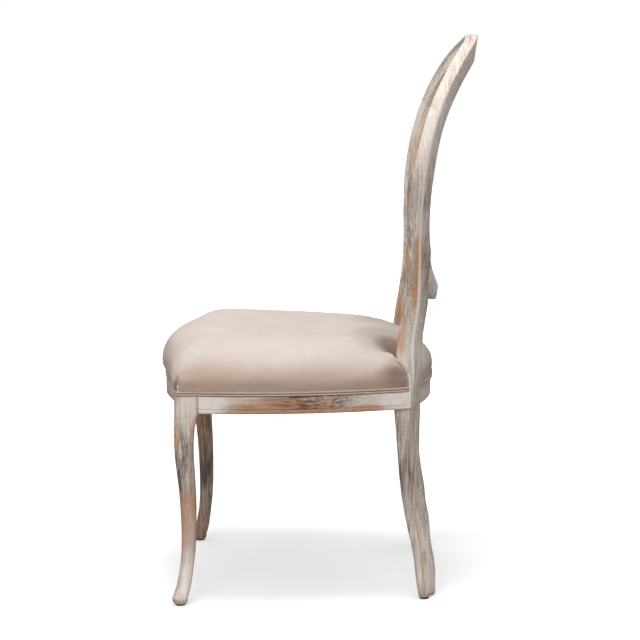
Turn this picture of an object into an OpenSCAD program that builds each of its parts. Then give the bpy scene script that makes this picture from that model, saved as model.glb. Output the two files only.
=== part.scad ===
// Cane back side chair: a balloon back ring on sabre rear legs, cabriole front legs
// and a domed upholstered seat with a double welt. Sizes are in millimetres.
// +Z is up, the chair faces -Y, and the origin is on the floor under the middle of the chair.

/* [Overall] */
// Height of the crest above the floor
chair_h = 1030; // [1015:1:1045]
// Depth from the front of the cushion to the back of the crest
chair_d = 598; // [590:1:606]

/* [Back] */
// Lean of the back from upright, in degrees
back_lean = 8.5; // [7.5:0.1:9.5]
// Radius of the barrel that the rear of the back lies on
barrel_r = 463; // [445:1:490]
// Width of the back ring at its widest
back_w = 478; // [468:1:488]
// Height at which the back ring is widest
back_mid_z = 790; // [780:1:800]
// Width over the two rear posts at the seat
post_span = 374; // [368:1:380]
// Thickness of the back ring from front to rear
ring_t = 24; // [22:0.5:27]
// Width of the face of the back ring at its sides
ring_w = 28; // [26:0.5:31]
// Height of the crest rail at its middle, without the raised lobe
crest_h = 45; // [38:0.5:52]
// Height of the raised lobe on top of the crest
crest_lobe = 5; // [2:0.5:8]
// Height of the underside of the lower back rail at its middle
lower_rail_z = 535; // [528:1:545]
// Height of the lower back rail at its middle
lower_rail_h = 27; // [23:0.5:32]
// Depth of the moulding between the beads of the ring
mould_depth = 3; // [1.5:0.25:4]

/* [Cane] */
// Distance between neighbouring holes of the cane
cane_pitch = 16.5; // [15:0.5:20]
// Size of a cane hole across its flats
cane_hole = 10; // [6:0.5:11]
// Thickness of the woven cane
cane_t = 2; // [1.5:0.25:2.5]
// How far the middle of the cane sits behind the front of the ring
cane_recess = 6.5; // [6:0.25:7.5]
// Width of the rebate in the ring that takes the edge of the cane
cane_rebate = 8; // [7:0.25:9]
// Width of the spline that holds the edge of the cane
spline_w = 4.5; // [3.5:0.25:5.5]
// Height of the spline from front to rear
spline_h = 4; // [3:0.25:5]

/* [Seat frame] */
// Height of the underside of the seat rails
rail_bottom_z = 356; // [350:1:362]
// Height of bare wood that shows below the welt
rail_show = 32; // [28:1:36]
// Full height of the seat rails
rail_h = 64; // [60:1:68]
// Thickness of the seat rails
rail_t = 25; // [22:0.5:28]
// Depth of the rebate that takes the upholstery
rebate = 5; // [4.5:0.5:6]
// Width over the two front leg blocks
seat_w = 498; // [488:1:508]
// How far the front rail bows forward of the legs
front_bow = 35; // [28:1:40]
// How far each side rail bows outwards
side_bow = 22; // [18:1:26]
// How far the side rail stands outside the rear post
lap_proud = 6; // [4:0.5:8]
// How deep the side rail is let into the rear post
lap_depth = 6; // [4:0.5:7]
// How far the rear rail stands behind the curve of the back
rear_rail_set = 12; // [10:0.5:14]
// Thickness of a tenon
tenon_t = 9; // [7:0.5:10]
// Height of a rail tenon
tenon_h = 42; // [34:1:46]
// Length of a rail tenon
tenon_l = 17; // [14:0.5:18]
// Diameter of the dowels in the joints of the back
dowel_d = 8; // [6:0.5:9]
// Length of the dowels in the joints of the back
dowel_l = 36; // [28:1:40]
// Height of the corner blocks
block_h = 42; // [34:1:46]
// Shank diameter of the corner block screws
screw_d = 4; // [3.5:0.25:5]
// Length of the corner block screws
screw_l = 45; // [40:1:48]

/* [Legs] */
// Side of the square block at the top of a front leg
leg_block = 44; // [41:1:47]
// Height of the glides under the feet
glide_h = 3; // [2:0.5:4]
// Diameter of the glides
glide_d = 17; // [14:0.5:18]

/* [Seat] */
// Height of the crown of the seat
seat_crown_z = 490; // [490:1:512]
// How far the cushion stands forward of the front rail
cushion_over = 10.5; // [8:0.5:12]
// Thickness of the cover on the foam
cover_t = 1.5; // [1:0.25:2]
// Diameter of one bead of the double welt
welt_d = 4.6; // [4:0.1:5]
// Width of a webbing strap
strap_w = 50; // [44:1:54]
// Thickness of a webbing strap
strap_t = 1.6; // [1.2:0.1:2]
// Distance between the middles of neighbouring straps
strap_pitch = 64; // [60:1:66]
// Thickness of the hessian over the straps
hessian_t = 1; // [0.8:0.1:1.4]
// Thickness of the dust cover
dust_t = 0.8; // [0.6:0.1:1.2]

/* [Hidden] */
$fn = 48;

limewash = [0.80, 0.76, 0.71];
linen = [0.80, 0.74, 0.68];
straw = [0.79, 0.66, 0.47];
raw_wood = [0.72, 0.57, 0.40];
jute = [0.62, 0.52, 0.38];
black_cloth = [0.16, 0.16, 0.17];
steel = [0.62, 0.63, 0.65];
nylon = [0.85, 0.84, 0.80];

fit = 0.2;
soft_gap = 0.3;
far = 700;

// Small functions
function sgn(v) = v < 0 ? -1 : 1;
function pw(v, e) = sgn(v) * pow(abs(v), e);
function mix(a, b, t) = a + (b - a) * t;
function ease(t) = t <= 0 ? 0 : t >= 1 ? 1 : t * t * (3 - 2 * t);
function total(v, i = 0) = i == len(v) ? 0 : v[i] + total(v, i + 1);
function middle(pts) = [for (c = [0 : 1]) total([for (p = pts) p[c]]) / len(pts)];

// A smooth curve through stations [key, value, ...], read at a key between the first and last
function station(s, k, i = 0) = i >= len(s) - 2 || k < s[i + 1][0] ? i : station(s, k, i + 1);
function slope(s, i, c) = i <= 0 || i >= len(s) - 1 ? 0
    : (s[i + 1][c] - s[i - 1][c]) / (s[i + 1][0] - s[i - 1][0]);
function through(s, k, c) =
    let (i = station(s, k), h = s[i + 1][0] - s[i][0], t = (k - s[i][0]) / h)
    (2 * t * t * t - 3 * t * t + 1) * s[i][c] + (t * t * t - 2 * t * t + t) * h * slope(s, i, c)
    + (3 * t * t - 2 * t * t * t) * s[i + 1][c] + (t * t * t - t * t) * h * slope(s, i + 1, c);

// A solid through rings of points, each ring clockwise as seen from the last one
module loft(rings) {
    n = len(rings[0]);
    m = len(rings);
    walls = [for (i = [0 : m - 2], j = [0 : n - 1])
        let (a = i * n + j, b = i * n + (j + 1) % n, c = a + n, d = b + n)
        each [[a, b, d], [a, d, c]]];
    polyhedron(points = [for (r = rings) each r], faces = concat(walls,
        [[for (j = [n - 1 : -1 : 0]) j]], [[for (j = [0 : n - 1]) (m - 1) * n + j]]));
}
module both_sides() {
    children();
    mirror([1, 0, 0]) children();
}

// Rear surface of the back: its middle line, and how far a width x lies forward of it
lean = tan(back_lean);
function spine_y(z) = chair_d / 2 - (chair_h - z) * lean;
function sag(x) = barrel_r - sqrt(barrel_r * barrel_r - x * x);
function back_y(x, z) = spine_y(z) - sag(x);

// The back ring seen from the front: two superellipses of one exponent, and a lobe on top
bulge = 2.3;
in_a = back_w / 2 - ring_w;
out_a = back_w / 2;
opening_top = chair_h - crest_lobe - crest_h;
opening_low = lower_rail_z + lower_rail_h;
in_top = opening_top - back_mid_z;
in_low = back_mid_z - opening_low;
out_top = chair_h - crest_lobe - back_mid_z;
lobe_half = 70;
crest_joint = 25;
function ring_in(t) = [in_a * pw(cos(t), 2 / bulge), back_mid_z + in_top * pw(sin(t), 2 / bulge)];
function lobe(x) = abs(x) < lobe_half ? crest_lobe * pow(cos(90 * x / lobe_half), 2) : 0;
function ring_out(t) =
    let (x = out_a * pw(cos(t), 2 / bulge))
    [x, back_mid_z + out_top * pw(sin(t), 2 / bulge) + lobe(x)];
function opening_x(z, grow = 0) =
    let (v = abs(z - back_mid_z) / (grow + (z > back_mid_z ? in_top : in_low)))
    v >= 1 ? 0 : (in_a + grow) * pow(1 - pow(v, bulge), 1 / bulge);
function opening_z(x) = back_mid_z - in_low * pow(1 - pow(abs(x) / in_a, bulge), 1 / bulge);

// One moulded cross-section between an inner and an outer edge point. Each profile entry is
// [place along the face from the inner edge, share of the thickness, height above that level].
function ring_section(p_in, p_out, y_in, y_out, deep_in, deep_out, cut) =
    let (w = norm(p_out - p_in), e = 3,
        profile = [[e, 0, 0], [w - e, 0, 0], [w - 0.3 * e, 0, 0.3 * e], [w, 0, e],
            [w, 1, -4.5], [w - 1.3, 1, -1.3], [w - 4.5, 1, 0], [w - 7, 1, -0.5 * cut],
            [w - 8.5, 1, -cut], [15.5, 1, -cut], [14, 1, -0.5 * cut], [12, 1, 0],
            [2, 1, 0], [0, 1, -2], [0, 0, e], [0.3 * e, 0, 0.3 * e]])
    [for (q = profile)
        let (t = q[0] / w)
        [mix(p_in[0], p_out[0], t), mix(y_in, y_out, t) - q[1] * mix(deep_in, deep_out, t) - q[2],
            mix(p_in[1], p_out[1], t)]];
function back_section(p_in, p_out) =
    ring_section(p_in, p_out, back_y(p_in[0], p_in[1]), back_y(p_out[0], p_out[1]),
        ring_t, ring_t, mould_depth);

// Levels on the rear post and edges of the stile, from the seat up to the widest level
rail_top_z = rail_bottom_z + rail_h;
welt_z = rail_bottom_z + rail_show;
neck_z = lower_rail_z - 45;
horn_low_z = lower_rail_z + 0.158 * in_low;
horn_top_z = lower_rail_z + 0.46 * in_low;
post_out_x = post_span / 2;
post_in_x = post_out_x - ring_w;
function stile_out_x(z) = mix(post_out_x, out_a, ease((z - neck_z) / (back_mid_z - neck_z)));
horn_low_x = stile_out_x(horn_low_z) - ring_w;
horn_top_x = opening_x(horn_top_z);
function stile_in_x(z) = z >= horn_top_z ? opening_x(z)
    : z >= horn_low_z
        ? mix(horn_low_x, horn_top_x, (z - horn_low_z) / (horn_top_z - horn_low_z))
        : mix(post_in_x, horn_low_x, ease((z - neck_z) / (horn_low_z - neck_z)));

// The rear leg and the post beside the seat, at heights as shares of the rails' underside:
// [height, splay of the outer face, set-back of the front, side face, narrowing,
//  slant of the rear face, slant of the front face]
post_front_y = back_y(post_out_x, neck_z) - ring_t - 8;
leg_lines = [
    [0.000, 12, 44, 13, 2, 18, 6],
    [0.035, 14, 42, 14, 1, 20, 7],
    [0.100, 13, 38, 15, 1, 21, 8],
    [0.200, 10, 35, 16, 1, 20, 8],
    [0.340, 6, 25, 19, 1, 18, 9],
    [0.475, 2, 16, 21, 1, 17, 10],
    [0.610, 0, 10, 23, 0, 16, 11],
    [0.800, 0, 4, 27, 0, 13, 12],
    [1.000, 0, -1, 31, 0, 16, 12],
    [1.200, 0, 0, 31, 0, 13, 11]];
leg_top_z = 1.2 * rail_bottom_z;
function leg_line(z, c) = through(leg_lines, min(z, leg_top_z) / rail_bottom_z, c);
function post_section(z) =
    let (b = ease((z - leg_top_z) / (neck_z - leg_top_z)),
        x_out = z < leg_top_z ? post_out_x + leg_line(z, 1) : stile_out_x(z),
        x_in = z < leg_top_z ? x_out - ring_w + leg_line(z, 4) : stile_in_x(z),
        y_front = mix(post_front_y + leg_line(z, 2), back_y(x_out, z) - ring_t, b),
        side = mix(leg_line(z, 3), ring_t, b),
        slant = back_y(x_in, z) - back_y(x_out, z),
        rear_slant = mix(leg_line(z, 5), slant, b),
        front_slant = mix(leg_line(z, 6), slant, b))
    ring_section([x_in, z], [x_out, z], y_front + side + rear_slant, y_front + side,
        side + rear_slant - front_slant, side, mould_depth * b);
post_levels = concat(
    [for (f = [0, 0.02, 0.06, 0.12, 0.2, 0.28, 0.36, 0.44, 0.53, 0.63, 0.75, 0.87])
        mix(glide_h, rail_bottom_z, f)],
    [rail_bottom_z - 5, welt_z, rail_top_z + 5, mix(rail_top_z, neck_z, 0.55), neck_z,
        mix(neck_z, horn_low_z, 0.35), mix(neck_z, horn_low_z, 0.7), horn_low_z],
    [for (f = [0.25 : 0.25 : 1]) mix(horn_low_z, horn_top_z, f)],
    [for (f = [0.14 : 0.14 : 0.98]) mix(horn_top_z, back_mid_z, f)]);
rear_foot = middle(post_section(glide_h));

// Places of the seat frame
front_face_y = -chair_d / 2 + cushion_over;
block_front_y = front_face_y + front_bow;
block_rear_y = block_front_y + leg_block;
block_out_x = seat_w / 2;
block_in_x = block_out_x - leg_block;
rear_face_y = spine_y(welt_z) + rear_rail_set;
rear_rail_cy = rear_face_y - barrel_r;
lap_end_y = post_front_y + 27;
tenon_z = rail_bottom_z + (rail_h - tenon_h) / 2;

// The side rail is an arc through the leg block's corner and the end of its lap on the post
side_p1 = [block_out_x, block_rear_y];
side_p2 = [post_out_x + lap_proud, lap_end_y];
side_len = norm(side_p2 - side_p1);
side_r = (side_len * side_len / 4 + side_bow * side_bow) / (2 * side_bow);
side_in = [-(side_p2 - side_p1)[1], (side_p2 - side_p1)[0]] / side_len;
side_c = (side_p1 + side_p2) / 2 + side_in * (side_r - side_bow);
side_a1 = atan2(side_p1[1] - side_c[1], side_p1[0] - side_c[0]);
side_a2 = atan2(side_p2[1] - side_c[1], side_p2[0] - side_c[0]);
function side_x(y) = side_c[0] + sqrt(side_r * side_r - (y - side_c[1]) * (y - side_c[1]));
function front_y(x) = block_front_y - front_bow * pow(cos(90 * min(1, abs(x) / block_in_x)), 2);
function front_turn(x) = front_bow * PI / 2 / block_in_x * sin(180 * min(1, abs(x) / block_in_x)) * sgn(x);
function rear_y(x) = rear_rail_cy + sqrt(barrel_r * barrel_r - x * x);

// Half of the seat plan as [x, y, outward normal x, outward normal y], front middle to rear middle
corner_r = 12;
rear_end_a = asin((post_out_x - 4) / barrel_r);
front_half = [for (f = [0 : 0.125 : 1])
    let (x = f * block_in_x, t = front_turn(x), l = sqrt(1 + t * t))
    [x, front_y(x), t / l, -1 / l]];
corner_half = [for (a = [-90 : 22.5 : 0])
    [block_out_x - corner_r + corner_r * cos(a), block_front_y + corner_r + corner_r * sin(a),
        cos(a), sin(a)]];
function side_point(f) =
    let (a = mix(side_a1, side_a2, f))
    [side_c[0] + side_r * cos(a), side_c[1] + side_r * sin(a), cos(a), sin(a)];
side_half = [for (f = [0 : 0.125 : 1]) side_point(f)];
rear_half = [for (f = [1 : -0.25 : 0])
    let (a = f * rear_end_a) [barrel_r * sin(a), rear_rail_cy + barrel_r * cos(a), sin(a), cos(a)]];
half_plan = concat(front_half, corner_half, side_half, rear_half);
function mirrored(pts) = [for (i = [len(pts) - 1 : -1 : 0]) [-pts[i][0], pts[i][1], -pts[i][2], pts[i][3]]];
function inner_part(pts) = [for (i = [1 : len(pts) - 2]) pts[i]];
full_plan = concat(half_plan, mirrored(inner_part(half_plan)));
module plan_area(inset) {
    polygon([for (q = full_plan) [q[0] - inset * q[2], q[1] - inset * q[3]]]);
}

// Cross-section of a seat rail: [distance inwards from its face, height]
rail_profile = [[rail_t, rail_bottom_z], [rail_t, rail_top_z], [rebate, rail_top_z],
    [rebate, welt_z], [1.5, welt_z], [0, welt_z - 1.5],
    [0, rail_bottom_z + 9], [0.9, rail_bottom_z + 8], [0.9, rail_bottom_z + 6.5],
    [0, rail_bottom_z + 5.5], [0.2, rail_bottom_z + 1.5], [2, rail_bottom_z]];

// Tenons and dowels, made fuller by grow where they cut their mortises
rear_tenon_y = rear_rail_cy + sqrt(pow(barrel_r - rail_t / 2, 2) - post_in_x * post_in_x);
module rear_tenon(grow = 0) {
    translate([post_in_x - 1, rear_tenon_y - tenon_t / 2 - grow, tenon_z - grow])
        cube([tenon_l + 1 + grow, tenon_t + 2 * grow, tenon_h + 2 * grow]);
}
stub_l = 14;
stub_x = post_out_x - lap_depth - 3 - tenon_t;
module side_stub(grow = 0) {
    translate([stub_x - grow, post_front_y - 1, tenon_z - grow])
        cube([tenon_t + 2 * grow, stub_l + 1 + grow, tenon_h + 2 * grow]);
}
front_tenon_y = block_front_y + rail_t / 2;
module front_tenon(grow = 0) {
    translate([block_in_x - 1, front_tenon_y - tenon_t / 2 - grow, tenon_z - grow])
        cube([tenon_l + 1 + grow, tenon_t + 2 * grow, tenon_h + 2 * grow]);
}
side_tenon_x = block_out_x - rail_t / 2;
module side_tenon(grow = 0) {
    translate([side_tenon_x - tenon_t / 2 - grow, block_rear_y - tenon_l - grow, tenon_z - grow])
        cube([tenon_t + 2 * grow, tenon_l + 1 + grow, tenon_h + 2 * grow]);
}
// A fluted dowel in the mid thickness of the back, at p as seen from the front and turned
// from upright. Side is 1 for the left half of the chair and -1 for the right half.
flutes = 12;
module back_dowel(side, p, turn, d, l) {
    translate([side * p[0], back_y(p[0], p[1]) - (ring_t - mould_depth) / 2, p[1]])
        rotate([0, side * turn, 0]) rotate([-back_lean, 0, 0])
            cylinder(d = d, h = l, center = true, $fn = flutes);
}
crest_in = ring_in(crest_joint);
crest_across = ring_out(crest_joint) - crest_in;
module crest_dowel(side, d, l) {
    back_dowel(side, crest_in + crest_across / 2, -atan2(crest_across[1], crest_across[0]), d, l);
}
horn_low = [horn_low_x, horn_low_z];
horn_rise = [horn_top_x - horn_low_x, horn_top_z - horn_low_z];
horn_turn = atan2(horn_rise[0], horn_rise[1]);
module horn_dowel(side, d, l) {
    back_dowel(side, horn_low + horn_rise / 2, 90 + horn_turn, d, l);
}
module beyond_horn(side) {
    translate([side * horn_low_x, 0, horn_low_z]) rotate([0, side * horn_turn, 0])
        translate([side > 0 ? 0 : -far, 0, -far / 2]) cube([far, far, far]);
}

// The cane lies on a cylinder whose axis runs from side to side behind it, because
// the strands pull straight across from stile to stile
cane_low = [back_y(0, opening_low), opening_low];
cane_top = [back_y(0, opening_top), opening_top];
cane_chord = norm(cane_top - cane_low);
cane_lean = atan2(cane_top[0] - cane_low[0], cane_top[1] - cane_low[1]);
cane_rise = sag(in_a) * cos(cane_lean);
cane_r = (cane_chord * cane_chord / 4 + cane_rise * cane_rise) / (2 * cane_rise);
cane_c = (cane_low + cane_top) / 2 + [cos(cane_lean), -sin(cane_lean)] * (cane_r - cane_rise)
    + [cane_recess - ring_t, 0];
function cane_at(a) = [cane_c[0] - cane_r * cos(a), cane_c[1] + cane_r * sin(a)];
module cane_cylinder(r) {
    translate([0, cane_c[0], cane_c[1]]) rotate([0, 90, 0])
        cylinder(r = r, h = far, center = true, $fn = 240);
}
module opening_prism(grow) {
    translate([0, cane_c[0], 0]) rotate([90, 0, 0]) linear_extrude(cane_r + 2 * ring_t)
        polygon([for (t = [2.5 : 5 : 357.5])
            [(in_a + grow) * pw(cos(t), 2 / bulge),
                back_mid_z + ((t < 180 ? in_top : in_low) + grow) * pw(sin(t), 2 / bulge)]]);
}
module cane_rebate_cut() {
    difference() {
        opening_prism(cane_rebate);
        cane_cylinder(cane_r - cane_t / 2);
    }
}
module ring_loft(rings) {
    difference() {
        loft(rings);
        cane_rebate_cut();
    }
}

// Rear posts, with side as for the dowels
module rear_post(side) {
    color(limewash) difference() {
        mirror([side < 0 ? 1 : 0, 0, 0]) difference() {
            ring_loft(concat([for (z = post_levels) post_section(z)],
                [for (t = [0 : 5 : crest_joint]) back_section(ring_in(t), ring_out(t))]));
            post_lap();
            rear_tenon(fit);
            side_stub(fit);
        }
        horn_dowel(side, dowel_d, dowel_l + 2);
        crest_dowel(side, dowel_d, dowel_l + 2);
    }
}
module post_lap() {
    translate([post_out_x - lap_depth, post_front_y - 20, rail_bottom_z])
        cube([40, lap_end_y - post_front_y + 20, rail_h]);
}
module post_blank() {
    difference() {
        loft([for (z = post_levels) if (z > rail_bottom_z - 60 && z < neck_z + 1) post_section(z)]);
        post_lap();
    }
}
module rear_post_left() { rear_post(1); }
module rear_post_right() { rear_post(-1); }

// Crest rail, and the dowels of the back
module crest_rail() {
    color(limewash) difference() {
        ring_loft([for (k = [0 : 22])
            let (t = mix(crest_joint, 180 - crest_joint, k / 22))
            back_section(ring_in(t), ring_out(t))]);
        for (side = [1, -1]) crest_dowel(side, dowel_d, dowel_l + 2);
    }
}
module back_dowels() {
    color(raw_wood) for (side = [1, -1]) {
        crest_dowel(side, dowel_d - fit, dowel_l);
        horn_dowel(side, dowel_d - fit, dowel_l);
    }
}

// Lower back rail, with its ends turned up to carry the round of the opening
module lower_back_rail() {
    color(limewash) difference() {
        ring_loft([for (k = [-11 : 11])
            let (s = k * 0.095)
            back_section([s * horn_top_x, opening_z(s * horn_top_x)],
                [s * horn_low_x, mix(lower_rail_z, horn_low_z, s * s)])]);
        for (side = [1, -1]) {
            beyond_horn(side);
            horn_dowel(side, dowel_d, dowel_l + 2);
        }
    }
}

// Cane panel: rows of octagonal holes, each row a flat band along the cylinder
row_a = cane_pitch / cane_r * 180 / PI;
row_lap = 0.04;
cane_edge = cane_rebate - 2 * fit;
hole_r = cane_hole / 2 / cos(22.5);
module cane_row(k) {
    lo = cane_lean + (k - 0.5) * row_a;
    side = [for (f = [0 : 0.25 : 1])
        let (x = opening_x(cane_at(lo + f * row_a)[1], cane_edge))
            if (x > 0) [x, (f - 0.5) * (cane_pitch + 2 * row_lap)]];
    if (len(side) > 1) {
        mid = cane_at(cane_lean + k * row_a);
        reach = opening_x(mid[1], -0.6 * cane_hole);
        n = floor(reach / cane_pitch);
        centres = reach > 0 ? [for (i = [-n : n]) [i * cane_pitch, 0]] : [];
        edge = concat(side, [for (i = [len(side) - 1 : -1 : 0]) [-side[i][0], side[i][1]]]);
        points = concat(edge, [for (c = centres) each [for (j = [7 : -1 : 0])
            c + hole_r * [cos(22.5 + 45 * j), sin(22.5 + 45 * j)]]]);
        loops = concat([[for (i = [0 : len(edge) - 1]) i]],
            [for (q = [0 : 1 : len(centres) - 1]) [for (j = [0 : 7]) len(edge) + 8 * q + j]]);
        translate([0, mid[0] - fit / 2, mid[1]]) rotate([90 - cane_lean - k * row_a, 0, 0])
            linear_extrude(cane_t, center = true) polygon(points, loops);
    }
}
cane_rows = ceil(cane_chord / 2 / cane_pitch) + 1;
module cane_panel() {
    color(straw) for (k = [-cane_rows : cane_rows]) cane_row(k);
}
module cane_spline() {
    seat_r = cane_r + cane_t / 2 + fit;
    color(straw) intersection() {
        difference() {
            opening_prism(cane_rebate - fit);
            opening_prism(cane_rebate - fit - spline_w);
        }
        difference() {
            cane_cylinder(seat_r + spline_h);
            cane_cylinder(seat_r);
        }
    }
}

// Front legs, square at the rail and a light cabriole below it:
// [height as a share of the rails' underside, outward sweep, width, corner radius]
cabriole = [
    [0.000, 2, 20, 7], [0.012, 5, 25.5, 8], [0.030, 6, 27, 9], [0.075, -1, 25, 9],
    [0.175, -8, 23, 9], [0.300, -12, 24, 9], [0.420, -12, 25, 9], [0.540, -11, 26, 9],
    [0.680, -6, 29, 9], [0.810, -1, 32, 8], [0.930, 1, 37, 7], [1.000, 0, 42, 6]];
function leg_ring(z, sweep, w, r) =
    let (x = block_out_x + sweep - w / 2, y = block_front_y - sweep + w / 2)
    [for (k = [0 : 3], a = [0 : 30 : 90])
        let (turn = 90 - 90 * k, sx = k < 2 ? 1 : -1, sy = k == 0 || k == 3 ? 1 : -1)
        [x + sx * (w / 2 - r) + r * cos(turn - a), y + sy * (w / 2 - r) + r * sin(turn - a), z]];
function cabriole_ring(f) =
    leg_ring(mix(glide_h, rail_bottom_z, f), through(cabriole, f, 1), through(cabriole, f, 2),
        through(cabriole, f, 3));
front_foot = [block_out_x + cabriole[0][1] - cabriole[0][2] / 2,
    block_front_y - cabriole[0][1] + cabriole[0][2] / 2];
module front_leg() {
    color(limewash) difference() {
        union() {
            loft(concat([for (f = [0, 0.012, 0.03, 0.055, 0.085, 0.13, 0.19, 0.27, 0.37, 0.48, 0.58,
                    0.67, 0.76, 0.84, 0.91, 0.96, 0.985]) cabriole_ring(f)],
                [leg_ring(rail_bottom_z + 2, 0, leg_block, 5), leg_ring(welt_z, 0, leg_block, 5)]));
            translate([block_in_x, block_front_y + rebate, welt_z - 4])
                cube([leg_block - rebate, leg_block - rebate, rail_top_z - welt_z + 4]);
        }
        front_tenon(fit);
        side_tenon(fit);
        front_screws(screw_d);
    }
}
module front_leg_left() { front_leg(); }
module front_leg_right() { mirror([1, 0, 0]) front_leg(); }

// Seat rails
module front_rail() {
    color(limewash) union() {
        loft([for (s = [1 : -0.0625 : -1])
            let (x = s * block_in_x, t = front_turn(x), l = sqrt(1 + t * t))
            [for (q = rail_profile) [x - q[0] * t / l, front_y(x) + q[0] / l, q[1]]]]);
        both_sides() front_tenon();
    }
}
module rear_rail() {
    color(limewash) union() {
        intersection() {
            translate([0, rear_rail_cy, 0]) rotate_extrude($fn = 360)
                polygon([for (q = rail_profile) [barrel_r - q[0], q[1]]]);
            translate([-post_in_x, 0, 0]) cube([2 * post_in_x, far, far]);
        }
        both_sides() rear_tenon();
    }
}
module side_rail() {
    color(limewash) difference() {
        union() {
            intersection() {
                translate([side_c[0], side_c[1], 0]) rotate_extrude($fn = 720)
                    polygon([for (q = rail_profile) [side_r - q[0], q[1]]]);
                translate([0, block_rear_y, 0]) cube([far, lap_end_y - block_rear_y, far]);
            }
            side_tenon();
        }
        post_blank();
    }
}
module side_rail_left() { side_rail(); }
module side_rail_right() { mirror([1, 0, 0]) side_rail(); }

// Corner blocks glued into the corners of the seat frame. The front pair is also screwed
// to the legs.
block_z = rail_bottom_z + 8;
block_cut = 22;
front_cut = [block_in_x - block_cut, block_rear_y + block_cut];
rear_cut = [post_in_x - block_cut, post_front_y - block_cut / 2];
module front_screws(d) {
    for (share = [0.25, 0.75])
        translate([front_cut[0], front_cut[1], block_z + block_h * share])
            rotate([0, 90, -45]) cylinder(d = d, h = screw_l);
}
module front_screw_heads(grow = 0) {
    for (share = [0.25, 0.75])
        translate([front_cut[0], front_cut[1], block_z + block_h * share])
            rotate([0, 90, -45]) cylinder(d = 2 * screw_d + grow, h = 2.5);
}
// The front block's outline follows the inner faces of both rails and is notched round the leg
function front_inner(s) =
    let (x = s * block_in_x, t = front_turn(x), l = sqrt(1 + t * t))
    [x - rail_t * t / l, front_y(x) + rail_t / l];
function side_inner(f) =
    let (a = mix(side_a1, side_a2, f)) side_c + (side_r - rail_t) * [cos(a), sin(a)];
module corner_block_front() {
    color(raw_wood) difference() {
        translate([0, 0, block_z]) linear_extrude(block_h)
            polygon(concat([for (s = [0.75 : 0.0625 : 1]) front_inner(s)],
                [[block_in_x, block_rear_y], [side_inner(0)[0], block_rear_y]],
                [for (f = [0.03 : 0.03 : 0.15]) side_inner(f)]));
        front_screws(screw_d);
        front_screw_heads(fit);
    }
}
// The rear block is a triangle between the rear rail, the side rail and the post
module corner_block_rear() {
    color(raw_wood) difference() {
        intersection() {
            translate([rear_cut[0], rear_cut[1], block_z]) rotate([0, 0, 45])
                translate([0, -far / 2, 0]) cube([far, far, block_h]);
            linear_extrude(rail_top_z) plan_area(rail_t - 4);
        }
        rear_rail();
        side_rail();
        post_blank();
    }
}
module corner_block_front_left() { corner_block_front(); }
module corner_block_front_right() { mirror([1, 0, 0]) corner_block_front(); }
module corner_block_rear_left() { corner_block_rear(); }
module corner_block_rear_right() { mirror([1, 0, 0]) corner_block_rear(); }
module corner_block_screws() {
    color(steel) both_sides() {
        front_screws(screw_d - fit);
        front_screw_heads();
    }
}

// Webbing: flat straps woven over and under each other, their ends tacked on the rails
strap_count = 5;
tack_d = 8;
tack_land = 2.5 * tack_d;
strap_at = [for (i = [0 : strap_count - 1]) (i - (strap_count - 1) / 2) * strap_pitch];
cross_mid_y = (block_front_y + rear_face_y) / 2 - 12;
function strap_level(i, j) = (i + j) % 2 == 0 ? 0 : strap_t;
module strap(lo, hi, levels, middles) {
    low_line = concat([[lo, 0], [lo + tack_land, 0]],
        [for (k = [0 : strap_count - 1]) each [[middles[k] - strap_w / 2, levels[k]],
            [middles[k] + strap_w / 2, levels[k]]]],
        [[hi - tack_land, 0], [hi, 0]]);
    polygon(concat(low_line,
        [for (k = [len(low_line) - 1 : -1 : 0]) low_line[k] + [0, strap_t]]));
}
module seat_webbing_lengthwise() {
    color(jute) for (i = [0 : strap_count - 1]) {
        x = strap_at[i];
        translate([x - strap_w / 2, 0, rail_top_z]) rotate([90, 0, 90]) linear_extrude(strap_w)
            strap(front_y(abs(x) + strap_w / 2) + rebate + 3, rear_y(abs(x) + strap_w / 2) - rebate - 3,
                [for (j = [0 : strap_count - 1]) strap_level(i, j)],
                [for (j = [0 : strap_count - 1]) cross_mid_y + strap_at[j]]);
    }
}
function cross_reach(y) = min(side_x(y - strap_w / 2), side_x(y + strap_w / 2)) - rebate - 3;
module seat_webbing_crosswise() {
    color(jute) for (j = [0 : strap_count - 1]) {
        y = cross_mid_y + strap_at[j];
        translate([0, y + strap_w / 2, rail_top_z]) rotate([90, 0, 0]) linear_extrude(strap_w)
            strap(-cross_reach(y), cross_reach(y),
                [for (i = [0 : strap_count - 1]) strap_t - strap_level(i, j)], strap_at);
    }
}
module tack(p) {
    translate([p[0], p[1], rail_top_z + strap_t]) cylinder(d = tack_d, h = 1);
}
module webbing_tacks() {
    color(steel) {
        for (x = strap_at, side = [-1, 1]) {
            tack([x + side * strap_w / 4, front_y(abs(x) + strap_w / 2) + rebate + 3 + tack_d]);
            tack([x + side * strap_w / 4, rear_y(abs(x) + strap_w / 2) - rebate - 3 - tack_d]);
        }
        both_sides() for (y = strap_at, side = [-1, 1])
            tack([cross_reach(cross_mid_y + y) - tack_d, cross_mid_y + y + side * strap_w / 4]);
    }
}

// The posts' place in the upholstery: the column of each post, and the cut in the side of
// the cover that runs down in a quarter curve over the lap of the side rail
ear_y = lap_end_y - 10;
ear_h = 60;
module post_column(clear) {
    both_sides() translate([post_in_x - clear, post_front_y - clear - 1.5, rail_bottom_z])
        cube([ring_w + 2 * clear, far, far]);
}
module ear_cut() {
    drop = welt_z + ear_h;
    both_sides() translate([post_out_x - 2, 0, 0]) rotate([90, 0, 90]) linear_extrude(far)
        polygon(concat([for (a = [0 : 10 : 90])
                [mix(post_front_y, ear_y, sin(a)), mix(welt_z + 26, drop, cos(a))]],
            [[ear_y, rail_bottom_z], [far, rail_bottom_z], [far, far], [post_front_y, far]]));
}
module seat_cut(clear) {
    post_column(clear);
    ear_cut();
}

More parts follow.
